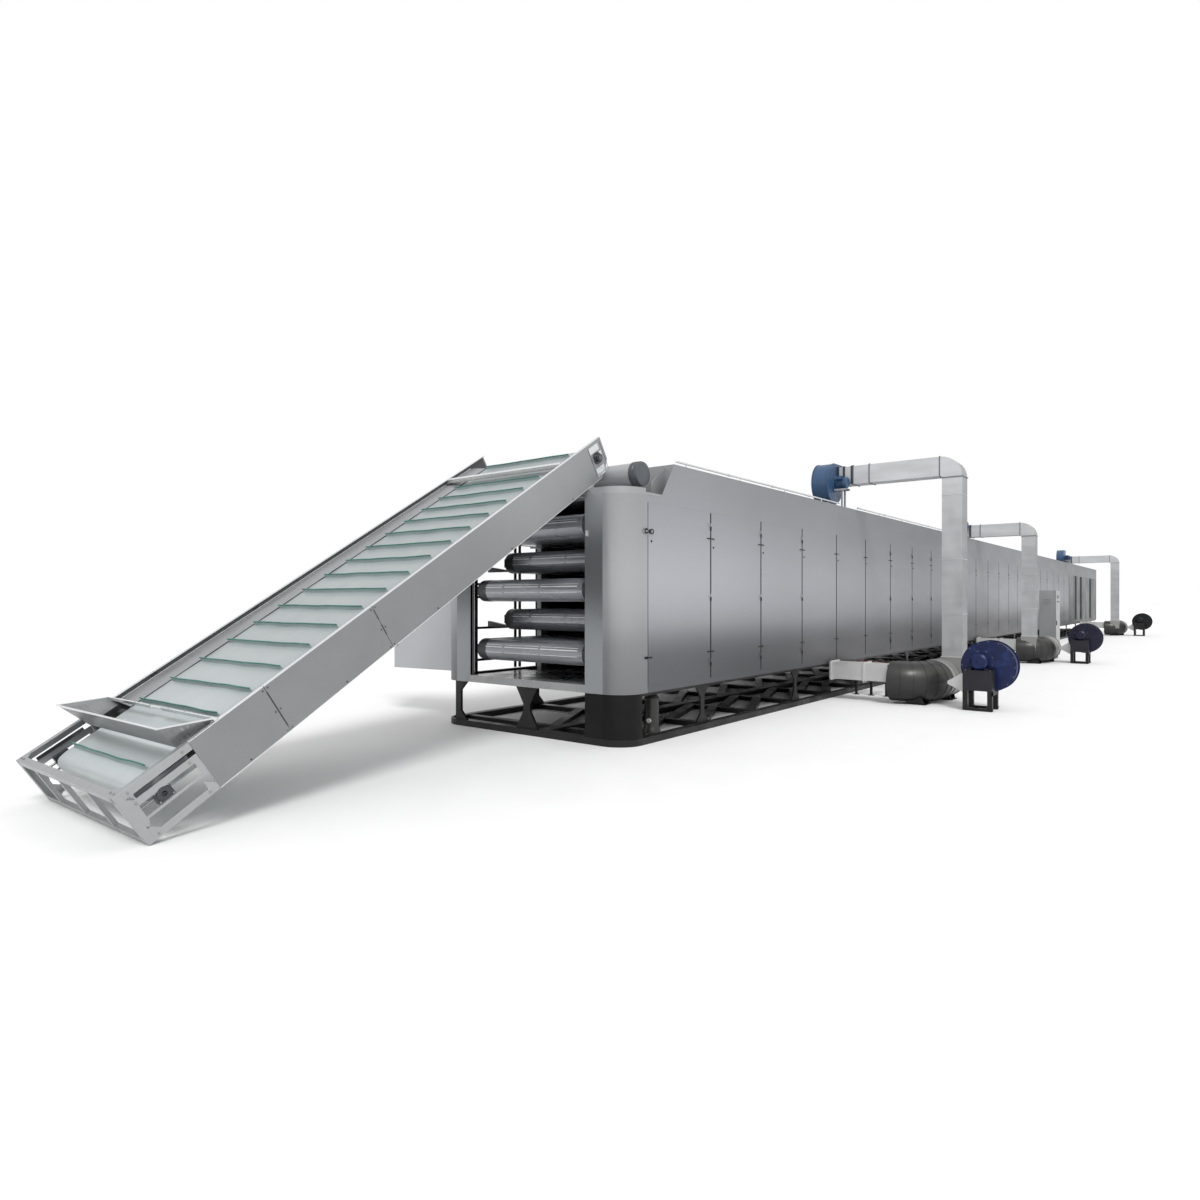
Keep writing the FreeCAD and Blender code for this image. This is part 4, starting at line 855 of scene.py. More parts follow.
def flight(shape, u, up):
    """A wavy cleat standing on the belt on a wider foot strip."""
    half = BELT_HALF - 0.03
    count = 44
    foot = ROLL_W + up * (WRAP + 0.0005)
    shape.tone = 2
    path = []
    section = ((-0.014, 0), (-0.006, 0.005), (-0.003, 0.012), (-0.0022, 0.037), (0.0022, 0.037),
               (0.003, 0.012), (0.006, 0.005), (0.014, 0))
    rings = []
    for k in range(count + 1):
        y = -half + 2 * half * k / count
        wave = 0.007 * noise.noise((u * 7.7, y * 2.4, 5.0)) + 0.002 * math.sin(y * 13 + u * 5)
        height = 1 + 0.07 * noise.noise((u * 3.3, y * 6.0, 9.0))
        rings.append([shape.vertex((u + a + wave * h / 0.037, y, foot + up * h * height)) for a, h in section])
        if k % 2 == 0:
            path.append((u + wave - 0.004, y, foot + up * 0.034 * height))
    shape.skin(rings)
    shape.tone = 1
    shape.wire(path, 0.0055, (1, 0, 0), 6)


shape = Shape(ON_SLOPE)
feed_belt(shape)
count = int((HEAD_U - TAIL_U) / FLIGHT_PITCH)
for k in range(count + 1):
    u = TAIL_U + 0.0625 + k * FLIGHT_PITCH
    if u < HEAD_U:
        flight(shape, u, 1)
        flight(shape, u, -1)
piece("feed_belt_rubber", shape, HOUSING, [BELT, TEAL, FLIGHT], ["feed_belt"], smooth=50)


def head_bar(shape):
    """The bright cross bar over the belt near the head, on a grey strip between the side plates."""
    wall = -OUTER - THICK - 0.001
    shape.tone = 2
    shape.block(4.62, 4.66, -wall, wall, -0.03, -0.026)
    shape.tone = 1
    shape.block(4.66, 4.71, -wall, wall, -0.03, -0.004)
    shape.tone = 2
    shape.bolts([(4.685, side * (wall - 0.05), -0.004) for side in (-1, 1)], (0, 0, 1), 0.008, 0.006)


def hopper(shape):
    """Flared loading mouth: a leaning front sheet, two twisted wings, a hemmed rim and a notched back bar."""
    lip = (0.405, 0.18)
    foot = (0.468, -0.038)
    back = 0.7
    top_half = FEED_HALF - 0.012
    foot_half = 0.74
    t = 0.003
    shape.tone = 0
    front = [(lip[0], -top_half, lip[1]), (lip[0], top_half, lip[1]), (foot[0], foot_half, foot[1]),
             (foot[0], -foot_half, foot[1])]
    shape.prism(front, (t, 0, t))
    for side in (-1, 1):
        lip_corner = Vector((lip[0], side * top_half, lip[1]))
        foot_corner = Vector((foot[0], side * foot_half, foot[1]))
        low_back = Vector((back, side * foot_half, foot[1]))
        high_back = Vector((back, side * top_half, 0.024))
        steps = 8
        edges = [(lip_corner.lerp(high_back, k / steps), foot_corner.lerp(low_back, k / steps))
                 for k in range(steps + 1)]
        shape.skin([[shape.vertex(p) for p in (high, low, low + Vector((0, 0, t)), high + Vector((0, 0, t)))]
                    for high, low in edges])
        shape.tone = 1
        shape.wire([lip_corner, lip_corner.lerp(high_back, 0.5), high_back], 0.006)
        shape.tone = 0
    shape.tone = 1
    shape.wire([(lip[0], -top_half, lip[1]), (lip[0], 0, lip[1]), (lip[0], top_half, lip[1])], 0.007, (1, 0, 0))
    for y0, y1 in ((-top_half, -0.09), (0.09, top_half)):
        shape.block(back, back + 0.03, y0, y1, 0.002, 0.007)
        shape.block(back, back + 0.005, y0, y1, 0.007, 0.03)
    shape.block(back + 0.012, back + 0.03, -0.09, 0.09, 0.002, 0.007)
    shape.tone = 2
    shape.bolts([(back + 0.018, y, 0.007) for y in (-0.75, -0.4, -0.15, 0.15, 0.4, 0.75)], (0, 0, 1), 0.008, 0.006)


shape = Shape(ON_SLOPE)
hopper(shape)
head_bar(shape)
piece("hopper_sheets", shape, HOUSING, [PLATE, BRIGHT, ZINC], ["feed_hopper"], smooth=50)


def finned_motor(shape, start, axis, radius, length, fins=20):
    """An electric motor: finned barrel, end bells and fan cowl."""
    core = radius * 0.86
    shape.turned([(core * 0.6, 0), (core, length * 0.06), (core, length * 0.7), (radius * 0.97, length * 0.7),
                  (radius * 0.97, length * 0.94), (radius * 0.8, length)], start, axis, 28)
    shape.fins(Vector(start) + Vector(axis) * (length * 0.1), axis, core - 0.004, radius, length * 0.58, fins,
               0.0022)


def bearing_block(shape, u, side_out, reach):
    """A flanged block bearing on the plate with four bolts and a dust cap."""
    y = side_out * FEED_HALF
    shape.tone = 0
    shape.prism([(u + a, y, ROLL_W + b) for a, b in octagon(0.055, 0.03)], (0, side_out * reach * 0.4, 0))
    shape.tube((u, y + side_out * reach * 0.4, ROLL_W), (u, y + side_out * reach, ROLL_W), 0.042, 0.0262, 24)
    shape.tone = 1
    shape.bolts([(u + a, y + side_out * reach * 0.4, ROLL_W + b) for a in (-0.036, 0.036) for b in (-0.036, 0.036)],
                (0, side_out, 0), 0.008, 0.007)


shape = Shape(ON_SLOPE)
for side in (-1, 1):
    bearing_block(shape, HEAD_U, side, 0.04)
shape.tone = 0
gear_y = FEED_HALF + 0.04
shape.prism([(HEAD_U + a, gear_y, ROLL_W + b) for a, b in
             ((0.075, 0.045), (0.045, 0.075), (-0.075, 0.075), (-0.075, -0.075), (0.045, -0.075), (0.075, -0.045))],
            (0, 0.02, 0))
shape.tube((HEAD_U, gear_y + 0.02, ROLL_W), (HEAD_U, gear_y + 0.085, ROLL_W), 0.07, 0.0262, 28)
finned_motor(shape, (HEAD_U - 0.075, gear_y + 0.042, ROLL_W), (-1, 0, 0), 0.065, 0.3)
shape.block(HEAD_U - 0.26, HEAD_U - 0.16, gear_y + 0.01, gear_y + 0.07, ROLL_W + 0.055, ROLL_W + 0.085)
piece("feed_drive", shape, HOUSING, [BEARING, ZINC], ["feed_bearings"], 0.0015)


# ---------------------------------------------------------------- air units

UNITS = (1, 2, 3)
WAIST = 0.003                                   # how far a gore lies inside its seam
DUCT_WIDTH = 0.285
OUTLET_Y = -3.24                                # where a blower's outlet leaves its scroll
BAND_SIDES = 64                                 # facets round a scroll


def square_ring(shape, x0, x1, y0, y1, z, wobble, seed):
    """Points round a square duct at one height, each face pushed in and out a little."""
    steps = 10
    ring = []
    corners = [(x0, y0), (x1, y0), (x1, y1), (x0, y1)]
    for k, (a, b) in enumerate(zip(corners, corners[1:] + corners[:1])):
        out = Vector((b[1] - a[1], a[0] - b[0], 0)).normalized()
        for j in range(steps):
            f = j / steps
            point = Vector((a[0] + (b[0] - a[0]) * f, a[1] + (b[1] - a[1]) * f, z))
            push = wobble * math.sin(math.pi * f) * noise.noise((point.x * 6, point.y * 6 + k * 4, z * 4.5 + seed))
            ring.append(shape.vertex(point + out * (push - wobble * 0.3 * math.sin(math.pi * f))))
    return ring


def flange(shape, x0, x1, y0, y1, z0, z1, lip, axis="z"):
    """A raised frame round a duct joint; with axis "y" the last two spans change places."""
    for a0, a1, b0, b1 in ((x0 - lip, x1 + lip, y0 - lip, y0), (x0 - lip, x1 + lip, y1, y1 + lip),
                           (x0 - lip, x0, y0, y1), (x1, x1 + lip, y0, y1)):
        if axis == "z":
            shape.block(a0, a1, b0, b1, z0, z1)
        else:
            shape.block(a0, a1, z0, z1, b0, b1)


def duct(number):
    """The exhaust duct: wrinkled down leg in sections, a bend in gores, and the run to the roof."""
    low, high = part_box("exhaust_duct_%d" % number)
    lip = 0.012
    x0, x1 = low.x + lip, high.x - lip
    y0, y1 = low.y + lip, low.y + lip + (x1 - x0)
    side = x1 - x0
    top = high.z
    inner_bend = 0.03
    bend_y = y1 + inner_bend
    bend_z = top - side - inner_bend
    shape = Shape()
    foot = low.z + 0.015
    joints = [foot, foot + 0.62, foot + 1.42, bend_z - 0.26, bend_z]
    for z0, z1 in zip(joints, joints[1:]):
        count = max(4, int((z1 - z0) / 0.05))
        edge = 0.001
        rings = [square_ring(shape, x0 + edge, x1 - edge, y0 + edge, y1 - edge, z0 + (z1 - z0) * k / count,
                             0.011 * math.sin(math.pi * min(1, k / count * 1.1)) ** 0.5 if 0 < k < count else 0,
                             number * 11)
                 for k in range(count + 1)]
        shape.skin(rings)
    shape.tone = 1
    for z in joints[1:-1]:
        flange(shape, x0, x1, y0, y1, z - 0.003, z + 0.003, 0.003)
    flange(shape, x0, x1, y0, y1, low.z, foot, lip)
    shape.tone = 3
    flange(shape, x0, x1, y0, y1, bend_z - 0.006, bend_z + 0.006, 0.008)
    shape.tone = 0
    gores = 7
    rings = []
    for k in range(gores + 1):
        angle = math.radians(180 - 90 * k / gores)
        rings.append([shape.vertex((x, bend_y + radius * math.cos(angle), bend_z + radius * math.sin(angle)))
                      for radius, x in ((inner_bend, x0), (inner_bend, x1), (inner_bend + side, x1),
                                        (inner_bend + side, x0))])
    shape.skin(rings)
    shape.tone = 3
    flange(shape, x0, x1, bend_z + inner_bend, top, bend_y - 0.006, bend_y + 0.006, 0.008, "y")
    shape.tone = 0
    run_end = high.y
    parts = [bend_y, bend_y + (run_end - bend_y) * 0.8, run_end]      # the run's two lengths
    for a, b in zip(parts, parts[1:]):
        count = max(3, int((b - a) / 0.06))
        rings = []
        for k in range(count + 1):
            y = a + (b - a) * k / count
            belly = 0.006 * math.sin(math.pi * k / count)
            corners = [(x0, top - side), (x1, top - side), (x1, top), (x0, top)]
            ring = []
            for (ax, az), (bx, bz), (in_x, in_z) in zip(corners, corners[1:] + corners[:1],
                                                        ((0, 1), (-1, 0), (0, -1), (1, 0))):
                for j in range(6):
                    f = j / 6
                    pull = belly * math.sin(math.pi * f)
                    ring.append(shape.vertex((ax + (bx - ax) * f + in_x * pull, y, az + (bz - az) * f + in_z * pull)))
            rings.append(ring)
        shape.skin(rings)
    shape.tone = 3
    flange(shape, x0, x1, top - side, top, parts[1] - 0.006, parts[1] + 0.006, 0.011, "y")
    flange(shape, x0, x1, top - side, top, run_end - 0.012, run_end, 0.011, "y")
    shape.tone = 2
    for a, b in ((x0 - 0.006, y0 - 0.006), (x1 + 0.006, y0 - 0.006)):
        shape.bolts([(a, b, bend_z + 0.012), (a, b, foot)], (0, 0, 1), 0.006, 0.006)
    # Faces turned along Y take the darker copy of the sheet: painted shade.
    shape.mesh.normal_update()
    for face in shape.mesh.faces:
        if face.material_index == 0 and abs(face.normal.y) > 0.8:
            face.material_index = 4
    piece("duct_sheets_%d" % number, shape, HOUSING, [DUCT, ADAPTER, ZINC, DUCT_SEAM, DUCT_SHADED_FLANK],
          ["exhaust_duct_%d" % number], smooth=28)


HEATER_RADIUS, HEATER_Z, HEATER_Y, HEATER_TURN = 0.285, 0.315, -2.69, 0.43


def heater(number):
    """Return duct, elbow in gores, banded drum, saddle under the exhaust duct and two cradles."""
    low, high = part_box("heater_%d" % number)
    duct_low, duct_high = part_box("exhaust_duct_%d" % number)
    elbow_x = low.x + HEATER_RADIUS
    turn_y = HEATER_Y + HEATER_TURN
    shape = Shape()
    shape.tone = 1
    x0, x1 = elbow_x - 0.148, elbow_x + 0.148
    wall_end = high.y - 0.002
    shape.block(x0, x1, turn_y + 0.02, wall_end, 0.302, 0.548)
    for y in (turn_y + 0.36, wall_end - 0.03):
        flange(shape, x0, x1, 0.302, 0.548, y - 0.01, y + 0.01, 0.018, "y")
    shape.block(x0 + 0.04, x0 + 0.1, turn_y + 0.5, turn_y + 0.505, 0.33, 0.5)
    shape.tone = 0
    gores = 6
    pivot = Vector((elbow_x + HEATER_TURN, turn_y, HEATER_Z))
    sides = 40

    def seam(k, radius):
        """The direction of one seam of the elbow from its pivot, and points round that seam."""
        angle = math.radians(180 + 90 * k / gores)
        out = Vector((math.cos(angle), math.sin(angle), 0))
        return out, [pivot + out * (HEATER_TURN + a) + Vector((0, 0, b)) for a, b in circle(radius, sides)]

    shape.skin([[shape.vertex(p) for p in seam(k, HEATER_RADIUS - WAIST)[1]] for k in range(gores + 1)])
    for k in range(1, gores):
        out, path = seam(k, HEATER_RADIUS)
        shape.wire(path, 0.0022, Vector((-out.y, out.x, 0)), 6, closed=True)
    drum_end = high.x
    start = elbow_x + HEATER_TURN
    # Drum and bands take the sheet with painted shade low down.
    shape.tone = 4
    shape.turned([(HEATER_RADIUS - 0.004, 0), (HEATER_RADIUS - 0.004, drum_end - start - 0.02),
                  (HEATER_RADIUS - 0.02, drum_end - start)], (start, HEATER_Y, HEATER_Z), (1, 0, 0), 48)
    for x in (start + 0.012, start + 0.2, drum_end - 0.03):
        shape.tube((x - 0.01, HEATER_Y, HEATER_Z), (x + 0.01, HEATER_Y, HEATER_Z), HEATER_RADIUS + 0.006,
                   HEATER_RADIUS - 0.006, 48)
    shape.tone = 2
    shape.bolts([(drum_end, HEATER_Y + a, HEATER_Z + b) for a, b in circle(0.24, 12)], (1, 0, 0))
    # The saddle takes the same sheet with painted shade low down.
    shape.tone = 4
    left, right = duct_low.x, duct_high.x
    near, back = duct_low.y, duct_low.y + 0.309
    shape.skin([[shape.vertex((x, y, z)) for x, y in ((left - spread, near - spread), (right + spread, near - spread),
                                                      (right + spread, back), (left - spread, back))]
                for z, spread in ((0.3, 0.0), (0.45, 0.0), (0.56, 0.001), (0.6, -0.004), (duct_low.z, 0.0))])
    shape.tone = 3
    for x, y, width, height in ((elbow_x - 0.05, HEATER_Y - 0.04, 0.28, 0.1),
                                (start + 0.34, HEATER_Y - 0.18, 0.27, 0.22)):
        shape.block(x, x + width, y, y + 0.3, 0, 0.012)
        for side_x in (x + 0.012, x + width - 0.024):
            shape.prism([(side_x, y + 0.02, 0.012), (side_x, y + 0.28, 0.012), (side_x, y + 0.24, height),
                         (side_x, y + 0.06, height)], (0.012, 0, 0))
        shape.bolts([(x + a, y + b, 0.012) for a in (0.03, width - 0.03) for b in (0.03, 0.27)], (0, 0, 1))
    piece("heater_shell_%d" % number, shape, HOUSING, [HEATER, ADAPTER, ZINC, BLACK, SADDLE],
          ["heater_%d" % number], smooth=28)


def casing(shape, x0, x1, y, z, radius, eye_y, eye_z, eye):
    """A fan scroll: two side sheets with rolled rims, the wrapped band between them and the inlet ring."""
    rim = 0.014
    sheet = 0.004
    shape.skin([[shape.vertex((x0 + dx, at_y + a, at_z + b)) for a, b in circle(r, BAND_SIDES)]
                for dx, at_y, at_z, r in ((0, y, z, radius), (sheet, y, z, radius), (sheet, eye_y, eye_z, eye),
                                          (0, eye_y, eye_z, eye))], closed=True)
    shape.turned([(radius, 0), (radius, sheet)], (x1 - sheet, y, z), (1, 0, 0), BAND_SIDES)
    band = radius - rim
    shape.tube((x0 + sheet, y, z), (x1 - sheet, y, z), band, band - sheet, BAND_SIDES)
    for x in (x0 + sheet / 2, x1 - sheet / 2):
        shape.wire([(x, y + a, z + b) for a, b in circle(radius - 0.002, BAND_SIDES)], 0.0045, (1, 0, 0), 6,
                   closed=True)


def hub_motor(shape, x, y, z, radius, reach):
    """A flat finned motor on the casing's face, bored for its shaft."""
    wide = radius - 0.002
    core = radius - 0.014
    barrel = [(0.03, 0.016), (wide, 0.016), (wide, 0.04), (core, 0.044), (core, reach - 0.06),
              (wide, reach - 0.056), (wide, reach - 0.02), (radius * 0.75, reach - 0.002), (0.03, reach - 0.002)]
    shape.turned(barrel, (x, y, z), (-1, 0, 0), 40, closed=True)
    shape.turned([(0.034, reach - 0.006), (0.026, reach)], (x, y, z), (-1, 0, 0), 16)
    shape.fins((x - 0.05, y, z), (-1, 0, 0), core - 0.003, core + 0.011, reach - 0.12, 24, 0.002)


def blower(number, paint, stand_paint):
    """Scroll casing with outlet, flat hub motor, dark pedestal box, square legs and skid rails."""
    low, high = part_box("blower_%d" % number)
    axis_low, axis_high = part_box("blower_wheel_%d" % number)
    eye_y = (axis_low.y + axis_high.y) / 2
    eye_z = (axis_low.z + axis_high.z) / 2
    radius, width = 0.34, 0.22
    x = high.x - width
    y = low.y + radius
    z = high.z - radius
    shape = Shape()
    casing(shape, x, x + width, y, z, radius, eye_y, eye_z, 0.06)
    shape.turned([(0.06, 0), (0.15, 0), (0.15, 0.006), (0.12, 0.012), (0.06, 0.012)], (x, eye_y, eye_z),
                 (-1, 0, 0), 40, closed=True)
    shape.tone = 2
    shape.bolts([(x - 0.005, eye_y + a, eye_z + b) for a, b in circle(0.137, 8, 0.5)], (-1, 0, 0), 0.006, 0.005)
    shape.bolts([(x, y + a, z + b) for a, b in circle(0.326, 16)], (-1, 0, 0), 0.005, 0.004)
    shape.tone = 0
    hub_motor(shape, x, eye_y, eye_z, 0.11, 0.215)
    shape.tone = 3
    side_0, side_1 = x + 0.022, x + width - 0.022
    outlet = []
    for f, below, above in ((0.0, 0.4, 0.06), (0.5, 0.33, 0.15), (1.0, 0.27, 0.23)):
        place_y = OUTLET_Y + (high.y - OUTLET_Y - 0.002) * f
        outlet.append([shape.vertex((a, place_y, z - b)) for a, b in ((side_0, below), (side_1, below),
                                                                      (side_1, above), (side_0, above))])
    shape.skin(outlet)
    shape.tone = 4
    flange(shape, x + 0.024, x + width - 0.024, z - 0.39, z - 0.08, OUTLET_Y - 0.004, OUTLET_Y + 0.008, 0.01, "y")
    front, back = x - 0.23, x - 0.012
    y0, y1 = y - 0.095, y + 0.265
    deck, top = 0.265, 0.535
    for side_y in (y0, y1 - 0.005):
        shape.block(front, back, side_y, side_y + 0.005, deck, top - 0.006)
    shape.block(front, front + 0.005, y0 + 0.005, y1 - 0.005, deck, top - 0.006)
    shape.block(front - 0.004, back, y0 - 0.004, y1 + 0.004, top - 0.006, top)
    shape.block(front - SHEET, front, y0 + 0.04, y1 - 0.04, deck + 0.04, top - 0.05)
    for side_y in (y0 + 0.06, y1 - 0.1):
        shape.block(x - 0.2, x - 0.03, side_y, side_y + 0.04, top, eye_z - 0.088)
    shape.tone = 1
    rails = (front, x + 0.09)
    for leg_y in (y0, y1 - 0.06):
        for leg_x in rails:
            shape.block(leg_x, leg_x + 0.008, leg_y, leg_y + 0.06, 0.03, deck)
            shape.block(leg_x + 0.008, leg_x + 0.06, leg_y, leg_y + 0.008, 0.03, deck)
            shape.block(leg_x - 0.006, leg_x + 0.066, leg_y - 0.006, leg_y + 0.066, 0.03, 0.038)
    for rail_x in rails:
        shape.block(rail_x, rail_x + 0.06, y0, y1, 0, 0.008)
        for wall_x in (rail_x, rail_x + 0.052):
            shape.block(wall_x, wall_x + 0.008, y0, y1, 0.008, 0.03)
    for side_y in (y0, y1 - 0.008):
        shape.block(front, x + 0.15, side_y, side_y + 0.008, deck - 0.06, deck)
    shape.tone = 2
    shape.bolts([(front + 0.03, side_y, top) for side_y in (y0 + 0.03, y1 - 0.03)], (0, 0, 1))
    piece("blower_shell_%d" % number, shape, HOUSING,
          [paint, BLACK, ZINC, ADAPTER, stand_paint], ["blower_%d" % number], smooth=30)


FAN_RADIUS, FAN_WIDTH, COLLAR = 0.325, 0.26, 0.25


def roof_fan(shape, number):
    """A light blue scroll with its outlet chest, dark collar to the duct, motor on a table, angle legs."""
    duct_low, duct_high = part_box("exhaust_duct_%d" % number)
    near = 0.1                                   # duct side nearest the shaft, from the shaft
    far = near + DUCT_WIDTH
    top = duct_high.z
    z = max(top - 0.27, ROOF + FAN_RADIUS + 0.015)
    shape.place = Matrix(((0, -1, 0, duct_low.x + 0.012 - near), (1, 0, 0, duct_high.y + COLLAR),
                          (0, 0, 1, 0), (0, 0, 0, 1)))
    rim = FAN_RADIUS - 0.002
    skin = rim - 0.012
    shape.tone = 0
    shape.turned([(skin, 0.001), (rim, 0.001), (rim, 0.012), (skin, 0.014), (skin, FAN_WIDTH - 0.014),
                  (rim, FAN_WIDTH - 0.012), (rim, FAN_WIDTH - 0.001), (skin, FAN_WIDTH - 0.001)],
                 (0, 0, z), (1, 0, 0), 48)
    low, high = z + 0.022, z + FAN_RADIUS - 0.002
    shape.block(0.002, FAN_WIDTH - 0.002, -far + 0.002, -0.02, low, high)
    middle = (low + high) / 2
    shape.block(0.02, FAN_WIDTH - 0.02, -far - 0.004, -far + 0.002, middle - 0.006, middle + 0.006)
    shape.block(0.02, FAN_WIDTH - 0.02, -far - 0.002, -far + 0.002, low + 0.01, low + 0.02)
    shape.tone = 1
    flange(shape, 0.004, FAN_WIDTH - 0.004, -far + 0.004, -near, high - 0.002, high, 0.004)
    for along in (-COLLAR, -COLLAR / 2, -0.03):
        for lip_y in (-far - 0.01, -near):
            shape.block(along, along + 0.03, lip_y, lip_y + 0.01, top - DUCT_WIDTH, top)
        shape.block(along, along + 0.03, -far - 0.01, -near + 0.01, top - 0.003, top + 0.008)
    shape.tone = 4
    for side_y in (-far + 0.001, -near - 0.004):
        shape.block(-COLLAR, 0, side_y, side_y + 0.003, top - DUCT_WIDTH + 0.001, top - 0.001)
    for foot in (top - 0.004, top - DUCT_WIDTH + 0.001):
        shape.block(-COLLAR, 0, -far + 0.004, -near - 0.004, foot, foot + 0.003)
    shape.tone = 2
    shape.bolts([(0.001, a, z + b) for a, b in circle(0.29, 16, 0.5)], (-1, 0, 0), 0.006, 0.005)
    shape.tone = 0
    finned_motor(shape, (-0.017, 0, z), (-1, 0, 0), 0.09, 0.196, 24)
    shape.turned([(0.13, 0.0), (0.13, 0.008), (0.1, 0.014), (0.095, 0.014)], (-0.001, 0, z), (-1, 0, 0), 32)
    shape.block(-0.15, -0.07, 0.05, 0.11, z + 0.05, z + 0.1)
    shape.tone = 3
    shape.block(-0.213, -0.017, -0.078, 0.078, z - 0.1, z - 0.094)
    for side_y in (-0.078, 0.07):
        shape.block(-0.213, -0.017, side_y, side_y + 0.008, z - 0.123, z - 0.1)
    for side_y in (-0.08, 0.045):
        shape.block(-0.15, -0.146, side_y, side_y + 0.035, ROOF, z - 0.123)
        shape.block(-0.146, -0.116, side_y, side_y + 0.004, ROOF, z - 0.123)
        shape.block(-0.16, -0.108, side_y - 0.006, side_y + 0.04, ROOF, ROOF + 0.006)
    for side_y in (-0.15, 0.1):
        for along in (0.034, 0.19):
            shape.block(along, along + 0.036, side_y, side_y + 0.005, ROOF, z - 0.285)
            shape.block(along, along + 0.005, side_y + 0.005, side_y + 0.045, ROOF, z - 0.285)
        shape.block(0.034, 0.226, side_y, side_y + 0.006, z - 0.3, z - 0.27)


for number in UNITS:
    duct(number)
    heater(number)
for number, paint, stand_paint in ((1, NAVY, STAND), (2, PURPLE, STAND), (3, SOOT, BLACK)):
    blower(number, paint, stand_paint)
for name, node, numbers in (("roof_fan_shell_1", "roof_fan_1", (1,)),
                            ("roof_fan_shells_2_3", "roof_fans_2_3", (2, 3))):
    shape = Shape()
    for number in numbers:
        roof_fan(shape, number)
    piece(name, shape, HOUSING, [FAN_BLUE, FAN_DARK, ZINC, STEEL_LEG, DUCT], [node], smooth=25)


# ---------------------------------------------------------------- mesh belts and what is seen round them

LAYERS = 5
BELT_EDGE = 0.75
DRUM_RADIUS = 0.118
BELT_OUT = 0.123                                # outer radius of a mesh belt round its drum
BELT_FAR = 0.66                                 # far edge of the woven band


def drum_axes(layer):
    """Front and rear drum axes of a layer and their height."""
    front_low, front_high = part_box("front_drum_%d" % layer)
    rear_low, rear_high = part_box("rear_drum_%d" % layer)
    return ((front_low.x + front_high.x) / 2, (rear_low.x + rear_high.x) / 2, (front_low.z + front_high.z) / 2)


def loop_path(x0, x1, z, radius, turn_steps=18, run_steps=4):
    """Points round two drums, in the XZ plane."""
    path = arc((x0, 0, z), radius, 270, 90, turn_steps)
    path += [Vector((x0 + (x1 - x0) * k / run_steps, 0, z + radius)) for k in range(1, run_steps)]
    path += arc((x1, 0, z), radius, 90, -90, turn_steps)
    path += [Vector((x1 - (x1 - x0) * k / run_steps, 0, z - radius)) for k in range(1, run_steps)]
    return path


def mesh_belt(shape, layer):
    """Woven band with cross rods at its ends, edge chains and their rounded link plates."""
    x0, x1, z = drum_axes(layer)
    shape.tone = 0
    band = [(-BELT_EDGE + 0.02, -0.0015), (BELT_FAR, -0.0015), (BELT_FAR, 0.0015), (-BELT_EDGE + 0.02, 0.0015)]
    shape.swept(loop_path(x0, x1, z, DRUM_RADIUS + 0.0027), band, (0, 1, 0), closed=True)
    rod_radius = 0.0022
    for centre, start, stop in ((x0, 90, 270), (x1, -90, 90)):
        for place in arc((centre, 0, z), BELT_OUT - rod_radius, start, stop, 14):
            shape.rod((place.x, -BELT_EDGE + 0.02, place.z), (place.x, BELT_FAR, place.z), rod_radius, 6)
    for first in (x0 + 0.03, x1 - 0.93):
        for k in range(30):
            x = first + k * 0.03
            shape.rod((x, -BELT_EDGE + 0.02, z + BELT_OUT - rod_radius),
                      (x, BELT_FAR, z + BELT_OUT - rod_radius), rod_radius, 6)
    # Painted highlights: thin near-white strips at three angles round each front wrap.
    shape.tone = 2
    for angle, width in ((163, 0.006), (150, 0.003), (192, 0.0025)):
        place = arc((x0, 0, z), BELT_OUT - 0.0015, angle, angle + 1, 1)[0]
        for y0, y1 in ((-0.72, -0.2), (-0.17, 0.34), (0.38, BELT_FAR)):
            shape.block(place.x - 0.001, place.x + 0.001, y0, y1, place.z - width, place.z + width)
    shape.tone = 1
    for side in (-1, 1):
        y = side * (BELT_EDGE - 0.008)
        chain = [(-0.011, -0.01), (0.011, -0.01), (0.011, 0.01), (-0.011, 0.01)]
        path = [p + Vector((0, y, 0)) for p in loop_path(x0, x1, z, DRUM_RADIUS - 0.008)]
        shape.swept(path, chain, (0, 1, 0), closed=True)
        for centre, start, stop in ((x0, 90, 270), (x1, -90, 90)):
            for place in arc((centre, y + side * 0.013, z), DRUM_RADIUS - 0.006, start, stop, 10):
                shape.turned([(0.013, 0), (0.013, 0.004), (0.005, 0.006)], place, (0, side, 0), 12)


shape = Shape()
for layer in range(1, LAYERS + 1):
    mesh_belt(shape, layer)
piece("belt_layers", shape, HOUSING, [MESH, CHAIN, BELT_PAINTED_HIGHLIGHT], ["mesh_belts"], smooth=40)


def end_guard(shape, x, z, side, tone):
    """A rounded plate over the end of a drum, with a boss and bolts."""
    y = side * 0.778
    shape.tone = tone
    shape.turned([(0.112, 0), (0.112, 0.004), (0.05, 0.008), (0.05, 0.004)], (x, y, z), (0, side, 0), 28)
    shape.tone = 1
    shape.bolts([(x + 0.085 * math.cos(a), y + side * 0.004, z + 0.085 * math.sin(a))
                 for a in (0.6, 1.9, 3.1, 4.4, 5.6)], (0, side, 0), 0.006, 0.005)


